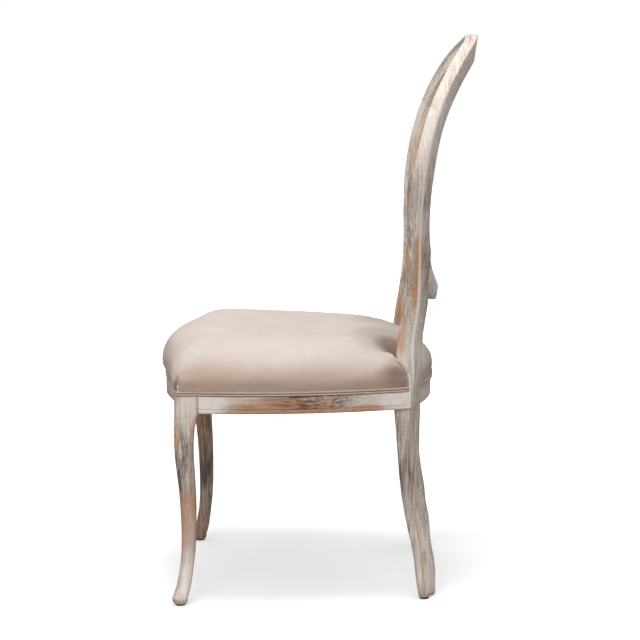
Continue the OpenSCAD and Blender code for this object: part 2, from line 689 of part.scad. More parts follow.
// Hessian on the webbing
hessian_z = rail_top_z + 2 * strap_t + soft_gap;
module hessian_sheet() {
    color(jute) difference() {
        translate([0, 0, hessian_z]) linear_extrude(hessian_t) plan_area(rebate + 4);
        post_column(2);
    }
}

// The seat dome: [height at the front, inset at the front, height at the rear, inset at the
// rear, share of the plan], heights as shares of the crown above the welt line, insets from
// the rails' faces
skin = rebate - soft_gap - cover_t;
crown = seat_crown_z - welt_z;
over = cushion_over;
dome = [
    [0.0025, skin, 0.0025, skin, 1], [0.07, skin - 0.5, 0.07, skin - 0.5, 1],
    [0.13, -0.38 * over, 0.123, 0, 1], [0.21, -over, 0.184, -0.1 * over, 1],
    [0.316, -0.9 * over, 0.254, -0.05 * over, 1], [0.412, -0.57 * over, 0.325, 0.24 * over, 1],
    [0.51, 2, 0.42, 8, 1], [0.693, 2, 0.535, 8, 0.92], [0.877, 2, 0.737, 8, 0.79],
    [0.974, 2, 0.833, 8, 0.675], [1, 2, 0.895, 8, 0.555], [1.009, 2, 0.965, 8, 0.36],
    [1.009, 2, 0.991, 8, 0.16]];
dome_y = mix(block_rear_y, rear_face_y, 0.4);
function dome_ring(level, under) =
    [for (i = [len(full_plan) - 1 : -1 : 0])
        let (q = full_plan[i], b = ease((q[1] - dome_y + 60) / (rear_face_y - dome_y + 40)),
            inset = mix(level[1], level[3], b) + under,
            x = q[0] - inset * q[2], y = q[1] - inset * q[3])
        [x * level[4], mix(dome_y, y, level[4]), welt_z + crown * mix(level[0], level[2], b) - under]];
module seat_dome(under, reach_down = 0) {
    loft(concat(
        reach_down > 0 ? [[for (p = dome_ring(dome[0], under)) [p[0], p[1], welt_z - reach_down]]] : [],
        [for (level = dome) dome_ring(level, under)]));
}
module below(z) {
    translate([-far, -far, z - far]) cube([2 * far, 2 * far, far]);
}
module seat_foam() {
    color([0.93, 0.89, 0.75]) difference() {
        seat_dome(cover_t + soft_gap);
        below(hessian_z + hessian_t + soft_gap);
        seat_cut(2 + cover_t + soft_gap);
    }
}
module seat_cover() {
    color(linen) difference() {
        seat_dome(0, 10);
        seat_dome(cover_t, 20);
        below(welt_z + soft_gap);
        seat_cut(1);
    }
}

// Double welt: two beads side by side, glued over the lower edge of the cover
function bead_ring(q, set) =
    let (r = welt_d / 2)
    [for (p = concat([for (a = [-150 : 60 : 90]) [cos(a), -1 + 0.96 * sin(a)]],
            [for (a = [-90 : 60 : 150]) [cos(a), 1 + 0.96 * sin(a)]]))
        [q[0] + (r * p[0] - set) * q[2], q[1] + (r * p[0] - set) * q[3],
            welt_z + soft_gap + 2 * r + r * p[1]]];
welt_set = skin - welt_d / 2 - soft_gap;
welt_half = concat(inner_part(concat(front_half, corner_half, side_half)), [side_point(0.97)]);
welt_path = concat(mirrored(welt_half), welt_half);
module double_welt_front() {
    color(linen) loft([for (q = welt_path) bead_ring(q, welt_set)]);
}
module double_welt_rear() {
    half = [for (f = [1 : -0.2 : 0])
        let (a = f * asin((post_in_x - 3) / barrel_r))
        [barrel_r * sin(a), rear_rail_cy + barrel_r * cos(a), sin(a), cos(a)]];
    color(linen) loft([for (q = concat(half, mirrored([for (i = [0 : len(half) - 2]) half[i]])))
        bead_ring(q, welt_set)]);
}

// Dust cover under the rails
module dust_cover() {
    color(black_cloth) difference() {
        translate([0, 0, rail_bottom_z - dust_t]) linear_extrude(dust_t) plan_area(8);
        both_sides() {
            translate([block_in_x - 1, block_front_y - 1, 0]) cube([far, leg_block + 2, far]);
            translate([post_in_x - 1, post_front_y - 4, 0]) cube([far, far, far]);
        }
    }
}

// Glides under the feet
module foot_glides() {
    color(nylon) both_sides() for (p = [front_foot, rear_foot])
        translate([p[0], p[1], 0]) cylinder(d = glide_d, h = glide_h);
}

rear_post_left();
rear_post_right();
crest_rail();
back_dowels();
lower_back_rail();
cane_panel();
cane_spline();
front_leg_left();
front_leg_right();
front_rail();
rear_rail();
side_rail_left();
side_rail_right();
corner_block_front_left();
corner_block_front_right();
corner_block_rear_left();
corner_block_rear_right();
corner_block_screws();
seat_webbing_lengthwise();
seat_webbing_crosswise();
webbing_tacks();
hessian_sheet();
seat_foam();
seat_cover();
double_welt_front();
double_welt_rear();
dust_cover();
foot_glides();
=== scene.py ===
# Cane back dining chair: a caned balloon back on sabre rear legs, light cabriole front legs
# and a domed fabric seat edged with double welt. Metres, +Z up, the chair faces -Y.
from contextlib import contextmanager
import math
import bmesh
import bpy
import numpy as np
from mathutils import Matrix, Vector
from mathutils.bvhtree import BVHTree


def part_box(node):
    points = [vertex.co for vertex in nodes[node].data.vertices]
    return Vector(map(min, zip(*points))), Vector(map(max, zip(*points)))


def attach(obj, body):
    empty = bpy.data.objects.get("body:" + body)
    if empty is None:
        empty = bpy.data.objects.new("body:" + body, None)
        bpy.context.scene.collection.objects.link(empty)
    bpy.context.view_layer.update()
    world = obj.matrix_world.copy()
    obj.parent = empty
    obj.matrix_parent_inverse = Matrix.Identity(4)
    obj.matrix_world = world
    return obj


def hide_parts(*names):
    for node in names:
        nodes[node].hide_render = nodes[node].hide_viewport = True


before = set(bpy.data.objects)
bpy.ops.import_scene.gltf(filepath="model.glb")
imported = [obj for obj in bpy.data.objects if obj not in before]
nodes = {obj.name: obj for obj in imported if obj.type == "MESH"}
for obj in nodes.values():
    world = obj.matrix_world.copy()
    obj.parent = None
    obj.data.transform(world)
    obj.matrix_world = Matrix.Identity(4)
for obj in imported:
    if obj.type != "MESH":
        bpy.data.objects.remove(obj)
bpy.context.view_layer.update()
scene = bpy.context.scene


def put(name, data):
    """A new object in the scene."""
    made = bpy.data.objects.new(name, data)
    scene.collection.objects.link(made)
    return made


# The view
# The chair is looked at from its left side, a little from above, through a long lens
# that stands 4.1 m away, so that the near and far legs hardly part.
view_azimuth = math.radians(91.13)
view_elevation = math.radians(8.43)
view_distance = 4.1
view_target = Vector((0.0, 0.0045, 0.491))
view_width_pixels = 640
view_focal_pixels = 2155
view_back = Vector((
    math.sin(view_azimuth) * math.cos(view_elevation),
    -math.cos(view_azimuth) * math.cos(view_elevation),
    math.sin(view_elevation)))
camera_data = bpy.data.cameras.new("camera")
camera_data.sensor_width = 36
camera_data.lens = camera_data.sensor_width * view_focal_pixels / view_width_pixels
camera = put("camera", camera_data)
camera.location = view_target + view_distance * view_back
camera.rotation_euler = (-view_back).to_track_quat("-Z", "Y").to_euler()
scene.camera = camera

# Rear posts
# Each is sawn from one board of beech, sabre leg below the seat and curved stile above it,
# then limewashed: white in the grain, grey where it is thin, and rubbed to the wood at edges.


def paint(red, green, blue):
    """A colour given as 0 to 255 on screen, as the shader wants it."""
    linear = [((c / 255 + 0.055) / 1.055) ** 2.4 if c > 10 else c / 255 / 12.92 for c in (red, green, blue)]
    return (*linear, 1.0)


class Amount:
    """What a shader node works out: a number, place or colour that is reckoned with like a number."""

    def __init__(self, tree, socket):
        self.tree = tree
        self.socket = socket

    def calc(self, operation, other=0.0, clamp=False):
        return shader(self.tree, "Math", {0: self, 1: other}, operation=operation, use_clamp=clamp)

    def __add__(self, other):
        return self.calc("ADD", other)

    def __sub__(self, other):
        return self.calc("SUBTRACT", other)

    def __rsub__(self, other):
        return shader(self.tree, "Math", {0: other, 1: self}, operation="SUBTRACT")

    def __mul__(self, other):
        return self.calc("MULTIPLY", other)


def feed(node, inputs):
    """A node's inputs, each set to a value or linked to an amount."""
    for key, value in inputs.items():
        if isinstance(value, Amount):
            value.tree.links.new(value.socket, node.inputs[key])
        else:
            node.inputs[key].default_value = value


def adjust(thing, **settings):
    """The settings of a node or a modifier."""
    for setting, value in settings.items():
        setattr(thing, setting, value)


def shader(tree, kind, inputs=None, out=0, **settings):
    """A new shader node with its settings and inputs, as the amount that one of its outputs gives."""
    made = tree.nodes.new("ShaderNode" + kind)
    adjust(made, **settings)
    feed(made, inputs or {})
    return Amount(tree, made.outputs[out])


def split(place):
    """The x, y and z of a place or a way."""
    made = place.tree.nodes.new("ShaderNodeSeparateXYZ")
    feed(made, {0: place})
    return [Amount(place.tree, socket) for socket in made.outputs]


def blend(share, first, second, how="MIX"):
    tree = next(value.tree for value in (share, first) if isinstance(value, Amount))
    return shader(tree, "Mix", {0: share, 6: first, 7: second}, 2, data_type="RGBA", blend_type=how)


def ramp(share, stops):
    """A ramp through stops of (place, grey) or (place, red, green, blue from 0 to 255 on screen)."""
    made = share.tree.nodes.new("ShaderNodeValToRGB")
    feed(made, {0: share})
    points = made.color_ramp.elements
    points[1].position = stops[-1][0]
    points[0].position = stops[0][0]
    for place, *value in stops[1:-1]:
        points.new(place)
    for point, (place, *value) in zip(points, stops):
        point.color = paint(*value) if len(value) == 3 else (*value * 3, 1.0)
    return Amount(share.tree, made.outputs[0])


def noise(where, scale, detail, rough):
    inputs = {"Vector": where, "Scale": scale, "Detail": detail, "Roughness": rough}
    return shader(where.tree, "TexNoise", inputs, "Fac")


def stretched(where, scale, shift=(0.0, 0.0, 0.0)):
    return shader(where.tree, "Mapping", {"Vector": where, "Location": shift, "Scale": scale})


def bump(height, strength, depth, under=None):
    """A bumped normal, on top of the normal under it where there is one."""
    inputs = {"Strength": strength, "Distance": depth, "Height": height}
    return shader(height.tree, "Bump", inputs if under is None else inputs | {"Normal": under})


def finish_material(name):
    """A new node material, its surface shader and the object coordinates."""
    material = bpy.data.materials.new(name)
    material.use_nodes = True
    tree = material.node_tree
    return material, tree.nodes["Principled BSDF"], shader(tree, "TexCoord", out="Object")


def rub(where, centre, reach, tilt=0.0):
    """One inside a soft ellipsoid, nought outside it. Tilt turns it about y, in degrees."""
    inputs = {"Vector": where, "Location": centre, "Rotation": (0, math.radians(tilt), 0), "Scale": reach}
    placed = shader(where.tree, "Mapping", inputs, vector_type="TEXTURE")
    away = shader(where.tree, "VectorMath", {0: placed}, "Value", operation="LENGTH")
    return ramp(away, [(0.45, 1.0), (1.0, 0.0)])


def limewash(name, grain, worn, dusk, shift, edge_wear, rubs=(), stains=(), faces=(), chalk=()):
    """Limewashed and rubbed wood. Grain is x, y, z or ring. Worn and dusk are (place in metres along
    the grain, amount) from end to end: how far the wash is rubbed off there, and how thin and grey it
    is. Rubs and stains are (amount, centre, reach, tilt) of single rubbed or darkened places. Faces are
    two more such tables, added to dusk on what faces the front, and the rear: painted shade where the
    amount is above nought, painted light where it is below. Chalk is one of how white the arrises are
    that face the rear."""
    material, surface, where = finish_material(name)
    tree = where.tree
    place = where
    run = 0
    if grain == "ring":
        ring_middle_z = 0.80
        ring_radius = 0.22
        across, depth, level = split(where)
        rise = level - ring_middle_z
        reach = (across.calc("POWER", 2.0) + rise.calc("POWER", 2.0)).calc("SQRT")
        round_it = across.calc("ARCTAN2", rise) * ring_radius
        place = shader(tree, "CombineXYZ", {0: round_it, 1: depth, 2: reach})
    else:
        run = "xyz".index(grain)

    def drawn_out(along_scale, across_scale):
        scale = [across_scale] * 3
        scale[run] = along_scale
        return stretched(place, scale, shift)

    fibre = drawn_out(0.07, 1.0)
    patch_space = drawn_out(0.25, 1.0)
    streak = noise(fibre, 230.0, 6.0, 0.62)
    hair = noise(fibre, 900.0, 3.0, 0.6)
    patch = noise(patch_space, 30.0, 5.0, 0.62)
    cloud = noise(patch_space, 9.0, 2.0, 0.5)
    chatter = noise(drawn_out(4.0, 0.25), 110.0, 2.0, 0.5)
    along = split(place)[run]

    def amount_along(table):
        low, high = table[0][0], table[-1][0]
        share = shader(tree, "MapRange", {"Value": along, "From Min": low, "From Max": high})
        return ramp(share, [((spot - low) / (high - low), amount) for spot, amount in table])

    # Thin and thick wash, more uneven where it is thin, darkened as painted shade or lightened as painted
    # light on the faces to the front and rear, as the faces tables give
    flat = shader(tree, "NewGeometry", out="Normal")
    to_rear = split(flat)[1]
    thin = amount_along(dusk)
    for way, table in zip((-1.0, 1.0), faces):
        thin += to_rear.calc("MULTIPLY", way, clamp=True) * amount_along(table)
    thick = (streak + patch - 1.0) * (thin * 0.55 + 0.3) + 0.66 - thin * 0.27 + (chatter - 0.5) * 0.16
    wash = ramp(thick, [
        (0.18, 104, 90, 82), (0.30, 150, 135, 124), (0.42, 188, 174, 162),
        (0.56, 218, 206, 195), (0.72, 240, 234, 228)])

    # Rubbed wood under it
    wood = ramp(hair * 0.4 + cloud * 0.6, [
        (0.36, 122, 84, 60), (0.47, 184, 130, 92), (0.62, 220, 172, 130)])

    # Arrises, marked on the mesh and widened by how far a rounded normal turns from the flat one
    arris = shader(tree, "Attribute", out="Fac", attribute_name="arris")
    round_normal = shader(tree, "Bevel", {"Radius": 0.005}, samples=8)
    turned = shader(tree, "VectorMath", {0: flat, 1: round_normal}, "Value", operation="DOT_PRODUCT")
    edge = (ramp(1.0 - turned, [(0.006, 0.0), (0.09, 1.0)]) * 0.75).calc("MAXIMUM", arris)
    edge *= ramp(cloud, [(0.40, 0.5), (0.60, 1.2)])
    edge *= ramp(to_rear, [(0.2, 1.0), (0.6, 0.62)])
    edge *= 1.0 - to_rear.calc("MULTIPLY", -1.3, clamp=True) * 0.6
    if chalk:
        chalky = arris * ramp(to_rear, [(0.05, 0.0), (0.2, 1.0)]) * amount_along(chalk)
        edge *= 1.0 - chalky

    # Where it is rubbed through
    total = edge * edge_wear + amount_along(worn) * 0.62
    for amount, *spot in rubs:
        total += rub(where, *spot) * amount
    total = total + (patch - 0.5) * 1.3 + (streak - 0.5) * 0.7
    colour = blend(ramp(total, [(0.32, 0.0), (0.70, 0.85)]), wash, wood)
    for amount, *spot in stains:
        stain = rub(where, *spot) * ramp(streak, [(0.40, 1.0), (0.58, 0.25)])
        colour = blend(stain * amount, colour, paint(92, 60, 47))

    # White left in the pores and on chalky arrises
    if chalk:
        colour = blend(chalky, colour, paint(240, 229, 217))
    pore = ramp(noise(fibre, 520.0, 2.0, 0.5), [(0.56, 0.0), (0.68, 0.75)])
    colour = blend(pore * ramp(cloud, [(0.44, 0.0), (0.60, 1.0)]), colour, paint(236, 231, 225))
    soft_edge = shader(tree, "Bevel", {"Radius": 0.0012}, samples=4)
    feed(surface, {
        "Base Color": colour, "Roughness": ramp(streak, [(0.3, 0.72), (0.7, 0.56)]),
        "Specular IOR Level": 0.35, "Normal": bump(streak * 0.7 + hair * 0.3, 0.3, 0.0005, soft_edge)})
    return material


@contextmanager
def opened(mesh):
    """A mesh open for editing, which is written back at the end."""
    shape = bmesh.new()
    shape.from_mesh(mesh)
    yield shape
    shape.to_mesh(mesh)
    shape.free()


def dress(mesh, material, angle):
    """A mesh gets a finish, and is smooth but for the arrises that turn by more than the angle."""
    mesh.materials.clear()
    mesh.materials.append(material)
    mesh.shade_smooth()
    mesh.set_sharp_from_angle(angle=math.radians(angle))


same_place = 0.00002
foot_top_z = 0.0045
foot_round = 0.0034
narrow_facet = 0.0040
convex_turn = math.radians(14)


def smooth_piece(name, material):
    """A copy of a wooden solid with its facets smoothed and its arrises kept, in a finish."""
    made = put(name + "_finished", nodes[name].data.copy())
    with opened(made.data) as shape:
        bmesh.ops.remove_doubles(shape, verts=shape.verts, dist=same_place)
        bmesh.ops.dissolve_degenerate(shape, edges=shape.edges, dist=same_place / 2)
        # The lower arris of a foot is rounded over
        foot = []
        for edge in shape.edges:
            sky = [face.normal.z for face in edge.link_faces]
            low = max(corner.co.z for corner in edge.verts) < foot_top_z
            if low and len(sky) == 2 and min(sky) < -0.9 < max(sky) - 0.4:
                foot.append(edge)
        if foot:
            bmesh.ops.bevel(shape, geom=foot, offset=foot_round, segments=2, profile=0.5, affect="EDGES")
        # The narrow facets that round a convex arris are marked, so that the wash can be rubbed off there
        arris = shape.faces.layers.float.new("arris")
        for face in shape.faces:
            longest = max(edge.calc_length() for edge in face.edges)
            if 2 * face.calc_area() / longest < narrow_facet:
                sides = [edge for edge in face.edges if edge.calc_length() > 0.4 * longest]
                turn = max(edge.calc_face_angle_signed(0.0) for edge in sides)
                face[arris] = 1.0 if turn > convex_turn else 0.0
    for layer in [a for a in made.data.attributes if a.name == "custom_normal"]:
        made.data.attributes.remove(layer)
    dress(made.data, material, 32)
    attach(made, "root")
    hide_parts(name)
    return made


post_wear = ((0.0, 0.5), (0.03, 0.2), (0.1, 0.2), (0.22, 0.25), (0.3, 0.2), (0.38, 0.0), (0.43, 0.1),
    (0.49, 0.25), (0.6, 0.25), (0.66, 0.05), (0.9, 0.0))
post_dusk = ((0.0, 0.6), (0.03, 0.5), (0.12, 0.75), (0.2, 0.8), (0.33, 0.95), (0.37, 0.6), (0.45, 0.5),
    (0.6, 0.8), (0.72, 0.9), (0.8, 0.6), (0.9, 0.15))
# Painted shade on the posts' front faces; their rear faces get painted light low down and higher up, and
# painted shade around the seat
post_front_painted_shade = ((0.0, 0.5), (0.4, 0.5), (0.5, 0.55), (0.63, 0.5), (0.68, 0.1), (0.9, 0.0))
post_rear_painted_light_and_shade = ((0.0, -0.9), (0.28, -0.95), (0.36, 0.2), (0.50, 0.25), (0.58, -0.3), (0.72, -0.4), (0.9, 0.1))


def fuller(piece, lines):
    """A sawn piece fuller to front and rear. Lines are (level, front, rear, gain in front, gain behind),
    in millimetres."""
    levels, *rows = (np.array(row) / 1000 for row in zip(*lines))
    for corner in piece.data.vertices:
        front, rear, gain_in_front, gain_behind = (np.interp(corner.co.z, levels, row) for row in rows)
        share = min(max((corner.co.y - front) / (rear - front), 0.0), 1.0)
        corner.co.y += gain_behind * share ** 3 - gain_in_front * (1 - share)
    piece.data.update()


post_lines = (
    (0, 191.7, 220.5, 0.5, 0.0), (20, 188.7, 220.7, 0.8, 0.5), (45, 185.5, 218.5, 1.0, 3.0),
    (74, 182.4, 215.5, 1.5, 2.8), (102, 177.2, 210.8, 1.0, 1.8), (130, 171.6, 205.8, 2.0, 4.5),
    (158, 166.4, 201.1, 2.7, 4.5), (190, 161.7, 197.1, 3.5, 3.0), (225, 157.9, 193.8, 4.0, 2.7),
    (268, 154.2, 190.5, 3.8, 0.5), (310, 150.7, 189.8, 3.5, 0.8), (351, 148.4, 191.1, 2.2, 0.4),
    (390, 148.6, 190.6, 0.8, 0.0), (409, 148.6, 190.0, 0.5, 3.0), (425, 148.6, 189.4, 2.0, 5.5),
    (458, 150.5, 187.0, 3.6, 7.5), (490, 156.4, 189.2, 6.0, 7.6), (518, 160.3, 192.1, 4.6, 8.2),
    (547, 162.9, 194.8, 3.2, 10.0), (571, 164.5, 197.6, 1.6, 7.5), (588, 165.4, 199.8, 0.6, 5.2),
    (610, 166.1, 202.6, 0.4, 4.4), (640, 166.7, 206.6, 0.6, 3.0), (680, 167.3, 203.3, 1.6, 2.6),
    (720, 168.5, 203.6, 1.8, 2.8), (760, 171.2, 206.9, 1.4, 2.4), (800, 176.4, 212.5, 1.0, 2.0),
    (840, 184.0, 220.6, 0.4, 1.0), (870, 192.0, 229.4, 0.0, 0.0))
post_chalk = ((0.0, 0.0), (0.38, 0.0), (0.44, 0.8), (0.60, 0.9), (0.70, 0.6), (0.9, 0.3))


def crest_joint(hand):
    """The glue line between a post and the crest, as a place where nothing is rubbed off."""
    return (-1.6, (0.2066 * hand, 0.215, 0.8905), (0.04, 0.05, 0.0022), -39.7 * hand)


lower_dowels_top_z = 0.75
bore_room = 0.0004
for side, hand, shift in (("left", 1, (0.3, 0.1, 0.0)), ("right", -1, (0.8, 0.6, 0.4))):
    rubs = (
        crest_joint(hand),
        (0.85, (0.205 * hand, 0.186, 0.640), (0.06, 0.010, 0.055)),
        (0.62, (0.195 * hand, 0.179, 0.580), (0.06, 0.012, 0.065)),
        (0.40, (0.187 * hand, 0.156, 0.490), (0.06, 0.012, 0.055)))
    stains = (
        (0.5, (0.187 * hand, 0.151, 0.300), (0.03, 0.010, 0.085)),
        (0.6, (0.187 * hand, 0.163, 0.230), (0.03, 0.016, 0.045)),
        (0.45, (0.180 * hand, 0.185, 0.060), (0.03, 0.010, 0.060)))
    finish = limewash("limewash_rear_post_" + side, "z", post_wear, post_dusk, shift, 0.56, rubs, stains,
        (post_front_painted_shade, post_rear_painted_light_and_shade), post_chalk)
    post = smooth_piece("rear_post_" + side, finish)

    # The lower dowel's bore breaks through the rear of the post, and filler closes it round the dowel
    peg = np.array([v.co for v in nodes["back_dowels"].data.vertices
        if v.co.x * hand > 0 and v.co.z < lower_dowels_top_z])
    peg_middle = peg.mean(axis=0)
    peg_axis = np.linalg.svd(peg - peg_middle)[2][0]
    bore_radius = np.linalg.norm(np.cross(peg - peg_middle, peg_axis), axis=1).max() + bore_room
    bore_half = np.abs((peg - peg_middle) @ peg_axis).max() + 10 * bore_room
    with opened(post.data) as shape:
        bored = set()
        for corner in shape.verts:
            away = np.array(corner.co) - peg_middle
            if np.linalg.norm(np.cross(away, peg_axis)) < bore_radius and abs(away @ peg_axis) < bore_half:
                bored.add(corner)
        wall = [face for face in shape.faces if bored.issuperset(face.verts)]
        bmesh.ops.delete(shape, geom=wall, context="FACES")
        rims = [edge for edge in shape.edges if edge.is_boundary and bored.issuperset(edge.verts)]
        fillings = bmesh.ops.holes_fill(shape, edges=rims, sides=0)["faces"]
        for flush in rims + fillings:
            flush.smooth = True
        bmesh.ops.recalc_face_normals(shape, faces=shape.faces)
    fuller(post, post_lines)

# Crest rail
# The top of the back ring, bandsawn from a thick plank whose grain runs across the chair and
# carried on by a moulded hollow between two beads. It is glued and dowelled to both posts.
crest_wear = ((-0.3, 0.0), (0.0, 0.1), (0.3, 0.0))
crest_dusk = ((-0.3, 0.35), (-0.15, 0.5), (0.15, 0.5), (0.3, 0.35))
crest_ends = [crest_joint(hand) for hand in (-1, 1)]
crest_finish = limewash("limewash_crest", "ring", crest_wear, crest_dusk, (0.2, 0.5, 0.1), 0.6, crest_ends)
smooth_piece("crest_rail", crest_finish)

# Dowels of the back
# Fluted beech pegs, hidden in the joints between the posts, the crest and the lower rail.


def mottled(name, grain, stops, roughness, bumped=None, stretch=(1, 1, 1), metallic=0.0):
    """A finish whose colour comes from one noise of grain (scale, detail, roughness) through the stops.
    Roughness is a number or stops of its own, and bumped is the (strength, depth) of the relief."""
    material, surface, where = finish_material(name)
    tone = noise(stretched(where, stretch), *grain)
    if not isinstance(roughness, float):
        roughness = ramp(tone, roughness)
    feed(surface, {"Base Color": ramp(tone, stops), "Roughness": roughness, "Metallic": metallic})
    if bumped:
        feed(surface, {"Normal": bump(tone, *bumped)})
    return material


def planed(name, dark, pale):
    """Planed wood without a finish, its grain along x."""
    stops = [(0.35, *dark), (0.62, *pale)]
    return mottled(name, (120.0, 5.0, 0.6), stops, 0.7, (0.25, 0.0005), (0.08, 1, 1))


def refinish(name, material):
    """A CAD piece keeps its shape and gets a new finish."""
    nodes[name].data.materials.clear()
    nodes[name].data.materials.append(material)


refinish("back_dowels", planed("planed_beech", (176, 136, 94), (206, 170, 128)))

# Lower back rail
# The curved bottom of the back ring, moulded like the crest. Its ends turn up to carry the
# round of the opening, and a dowel holds each to its post.
lower_wear = ((-0.2, 0.0), (-0.08, 0.1), (0.0, 0.4), (0.08, 0.1), (0.2, 0.0))
lower_dusk = ((-0.2, 0.3), (0.0, 0.3), (0.2, 0.3))
lower_finish = limewash("limewash_lower_rail", "x", lower_wear, lower_dusk, (0.7, 0.2, 0.9), 0.5)
smooth_piece("lower_back_rail", lower_finish)

# Cane panel
# Six-way woven cane: pairs of strands up and across, and single strands both ways on the
# slant between them, soaked, pressed into the groove of the ring and dried taut.
cane_pitch = 0.0127
cane_strand_width = 0.0023
cane_strand_thickness = 0.00042
groove_reach = 0.0070
opening_power = 2.3
back_lean = math.tan(math.radians(8.5))
back_middle_z = 0.790
opening_half_width = 0.211
opening_top_z = 0.980
opening_low_z = 0.562
back_top_y = 0.299
back_top_z = 1.030
barrel_radius = 0.463
ring_thickness = 0.024
cane_recess = 0.0065
cane_pair_half = 0.6
cane_low = np.array([back_top_y - (back_top_z - opening_low_z) * back_lean, opening_low_z])
cane_top = np.array([back_top_y - (back_top_z - opening_top_z) * back_lean, opening_top_z])
cane_chord = float(np.linalg.norm(cane_top - cane_low))
cane_tilt = math.atan2(cane_top[0] - cane_low[0], cane_top[1] - cane_low[1])
cane_rise = (barrel_radius - math.sqrt(barrel_radius ** 2 - opening_half_width ** 2)) * math.cos(cane_tilt)
cane_radius = (cane_chord ** 2 / 4 + cane_rise ** 2) / (2 * cane_rise)
cane_centre = (cane_low + cane_top) / 2
cane_centre += np.array([math.cos(cane_tilt), -math.sin(cane_tilt)]) * (cane_radius - cane_rise)
cane_centre += np.array([cane_recess - ring_thickness, 0.0])


def cane_angle(along):
    return cane_tilt + along / cane_radius


def inside_opening(across, along):
    """How far a place on the cane is inside the groove of the ring: under 1 is inside."""
    height = cane_centre[1] + cane_radius * np.sin(cane_angle(along)) - back_middle_z
    half_height = np.where(height > 0, opening_top_z - back_middle_z, back_middle_z - opening_low_z)
    across_share = np.abs(across) / (opening_half_width + groove_reach)
    height_share = np.abs(height) / (half_height + groove_reach)
    return across_share ** opening_power + height_share ** opening_power


def line_mesh(name, runs):
    """A mesh of open lines, one along each run of points."""
    points, chains = [], []
    for run in runs:
        chains += [(len(points) + k, len(points) + k + 1) for k in range(len(run) - 1)]
        points += run
    mesh = bpy.data.meshes.new(name)
    mesh.from_pydata(points, chains, [])
    return mesh


def lay_strands(weave):
    """Every strand as a line of points on the panel's cylinder, with the way it faces."""
    runs, facing = [], []
    for across, along, lift in weave:
        kept = inside_opening(across, along) < 1
        if kept.sum() < 3:
            continue
        angle = cane_angle(along[kept])
        radius = cane_radius + lift[kept] * cane_strand_thickness
        depth = cane_centre[0] - radius * np.cos(angle)
        level = cane_centre[1] + radius * np.sin(angle)
        runs.append(list(zip(across[kept].tolist(), depth.tolist(), level.tolist())))
        facing += [(0.0, -math.cos(turn), math.sin(turn)) for turn in angle]
    mesh = line_mesh("cane_strands", runs)
    mesh.attributes.new("facing", "FLOAT_VECTOR", "POINT").data.foreach_set("vector", np.ravel(facing))
    return mesh


cane_weave = []
cane_count = 18
steps = np.arange(-2 * cane_count, 2 * cane_count + 1)
half_pitch = cane_pitch / 2
for row in range(-cane_count, cane_count + 1):
    crossing = np.where(steps % 2 == 0, np.where((steps // 2 + row) % 2 == 0, 0.5, -0.5), 0.0)
    for side in (-1, 1):
        off = row * cane_pitch + side * cane_pair_half * cane_strand_width
        cane_weave.append((np.full(steps.shape, off), steps * half_pitch, crossing + 0.1 * side))
        cane_weave.append((steps * half_pitch, np.full(steps.shape, off), -crossing - 0.1 * side))
for row in range(-2 * cane_count, 2 * cane_count + 1):
    for turn in (-1, 1):
        slant = steps * half_pitch
        over = np.where((steps % 2 == 0), 1.1 * turn, -1.1 * turn)
        cane_weave.append((slant, turn * slant + (row + 0.5) * cane_pitch, over))


def line_tree(name, inputs, steps, links):
    """A node tree that takes lines as a curve and ends in one mesh with a finish. Inputs are more
    (name, kind), steps are (node, settings, values) by name, and links (from, output, to, input)."""
    tree = bpy.data.node_groups.new(name, "GeometryNodeTree")
    for label, kind in (("Lines", "Geometry"), *inputs, ("Finish", "Material")):
        tree.interface.new_socket(label, in_out="INPUT", socket_type="NodeSocket" + kind)
    tree.interface.new_socket("Piece", in_out="OUTPUT", socket_type="NodeSocketGeometry")
    made = {"given": tree.nodes.new("NodeGroupInput"), "result": tree.nodes.new("NodeGroupOutput")}
    ends = {step: (kind, {}, {}) for step, kind in (
        ("curve", "MeshToCurve"), ("real", "RealizeInstances"), ("set", "SetMaterial"))}
    for step, (kind, settings, values) in (ends | steps).items():
        made[step] = tree.nodes.new("GeometryNode" + kind)
        adjust(made[step], **settings)
        feed(made[step], values)
    for first, out, second, into in (*links, ("given", "Lines", "curve", "Mesh"),
            ("real", "Geometry", "set", "Geometry"), ("given", "Finish", "set", "Material"),
            ("set", "Geometry", "result", "Piece")):
        tree.links.new(made[first].outputs[out], made[second].inputs[into])
    return tree


def swept_tree(name, facing, section, values, sizes, steps=None, links=()):
    """A node tree that sweeps a section along its lines, with the section's curve set to face one way.
    Sizes are (name of an input of the tree, input of the section that it sets)."""
    return line_tree(name, [(size, "Float") for size, into in sizes], {
        "normal": ("SetCurveNormal", {"mode": facing}, {}),
        "section": ("CurvePrimitive" + section, {}, values),
        "sweep": ("CurveToMesh", {}, {"Fill Caps": True})} | (steps or {}), (
        ("curve", "Curve", "normal", "Curve"), ("normal", "Curve", "sweep", "Curve"),
        ("section", "Curve", "sweep", "Profile Curve"), ("sweep", "Mesh", "real", "Geometry"),
        *[("given", size, "section", into) for size, into in sizes], *links))


def woven(name, lines, tree, values):
    """A plain mesh object from a mesh of lines run through a node tree with these inputs."""
    layout = put(name + "_layout", lines)
    modifier = layout.modifiers.new("weave", "NODES")
    modifier.node_group = tree
    sockets = [item for item in tree.interface.items_tree if item.in_out == "INPUT"]
    for socket, value in zip(sockets[1:], values):
        modifier[socket.identifier] = value
    layout.update_tag()
    done = layout.evaluated_get(bpy.context.evaluated_depsgraph_get())
    made = put(name, bpy.data.meshes.new_from_object(done))
    bpy.data.objects.remove(layout)
    return made


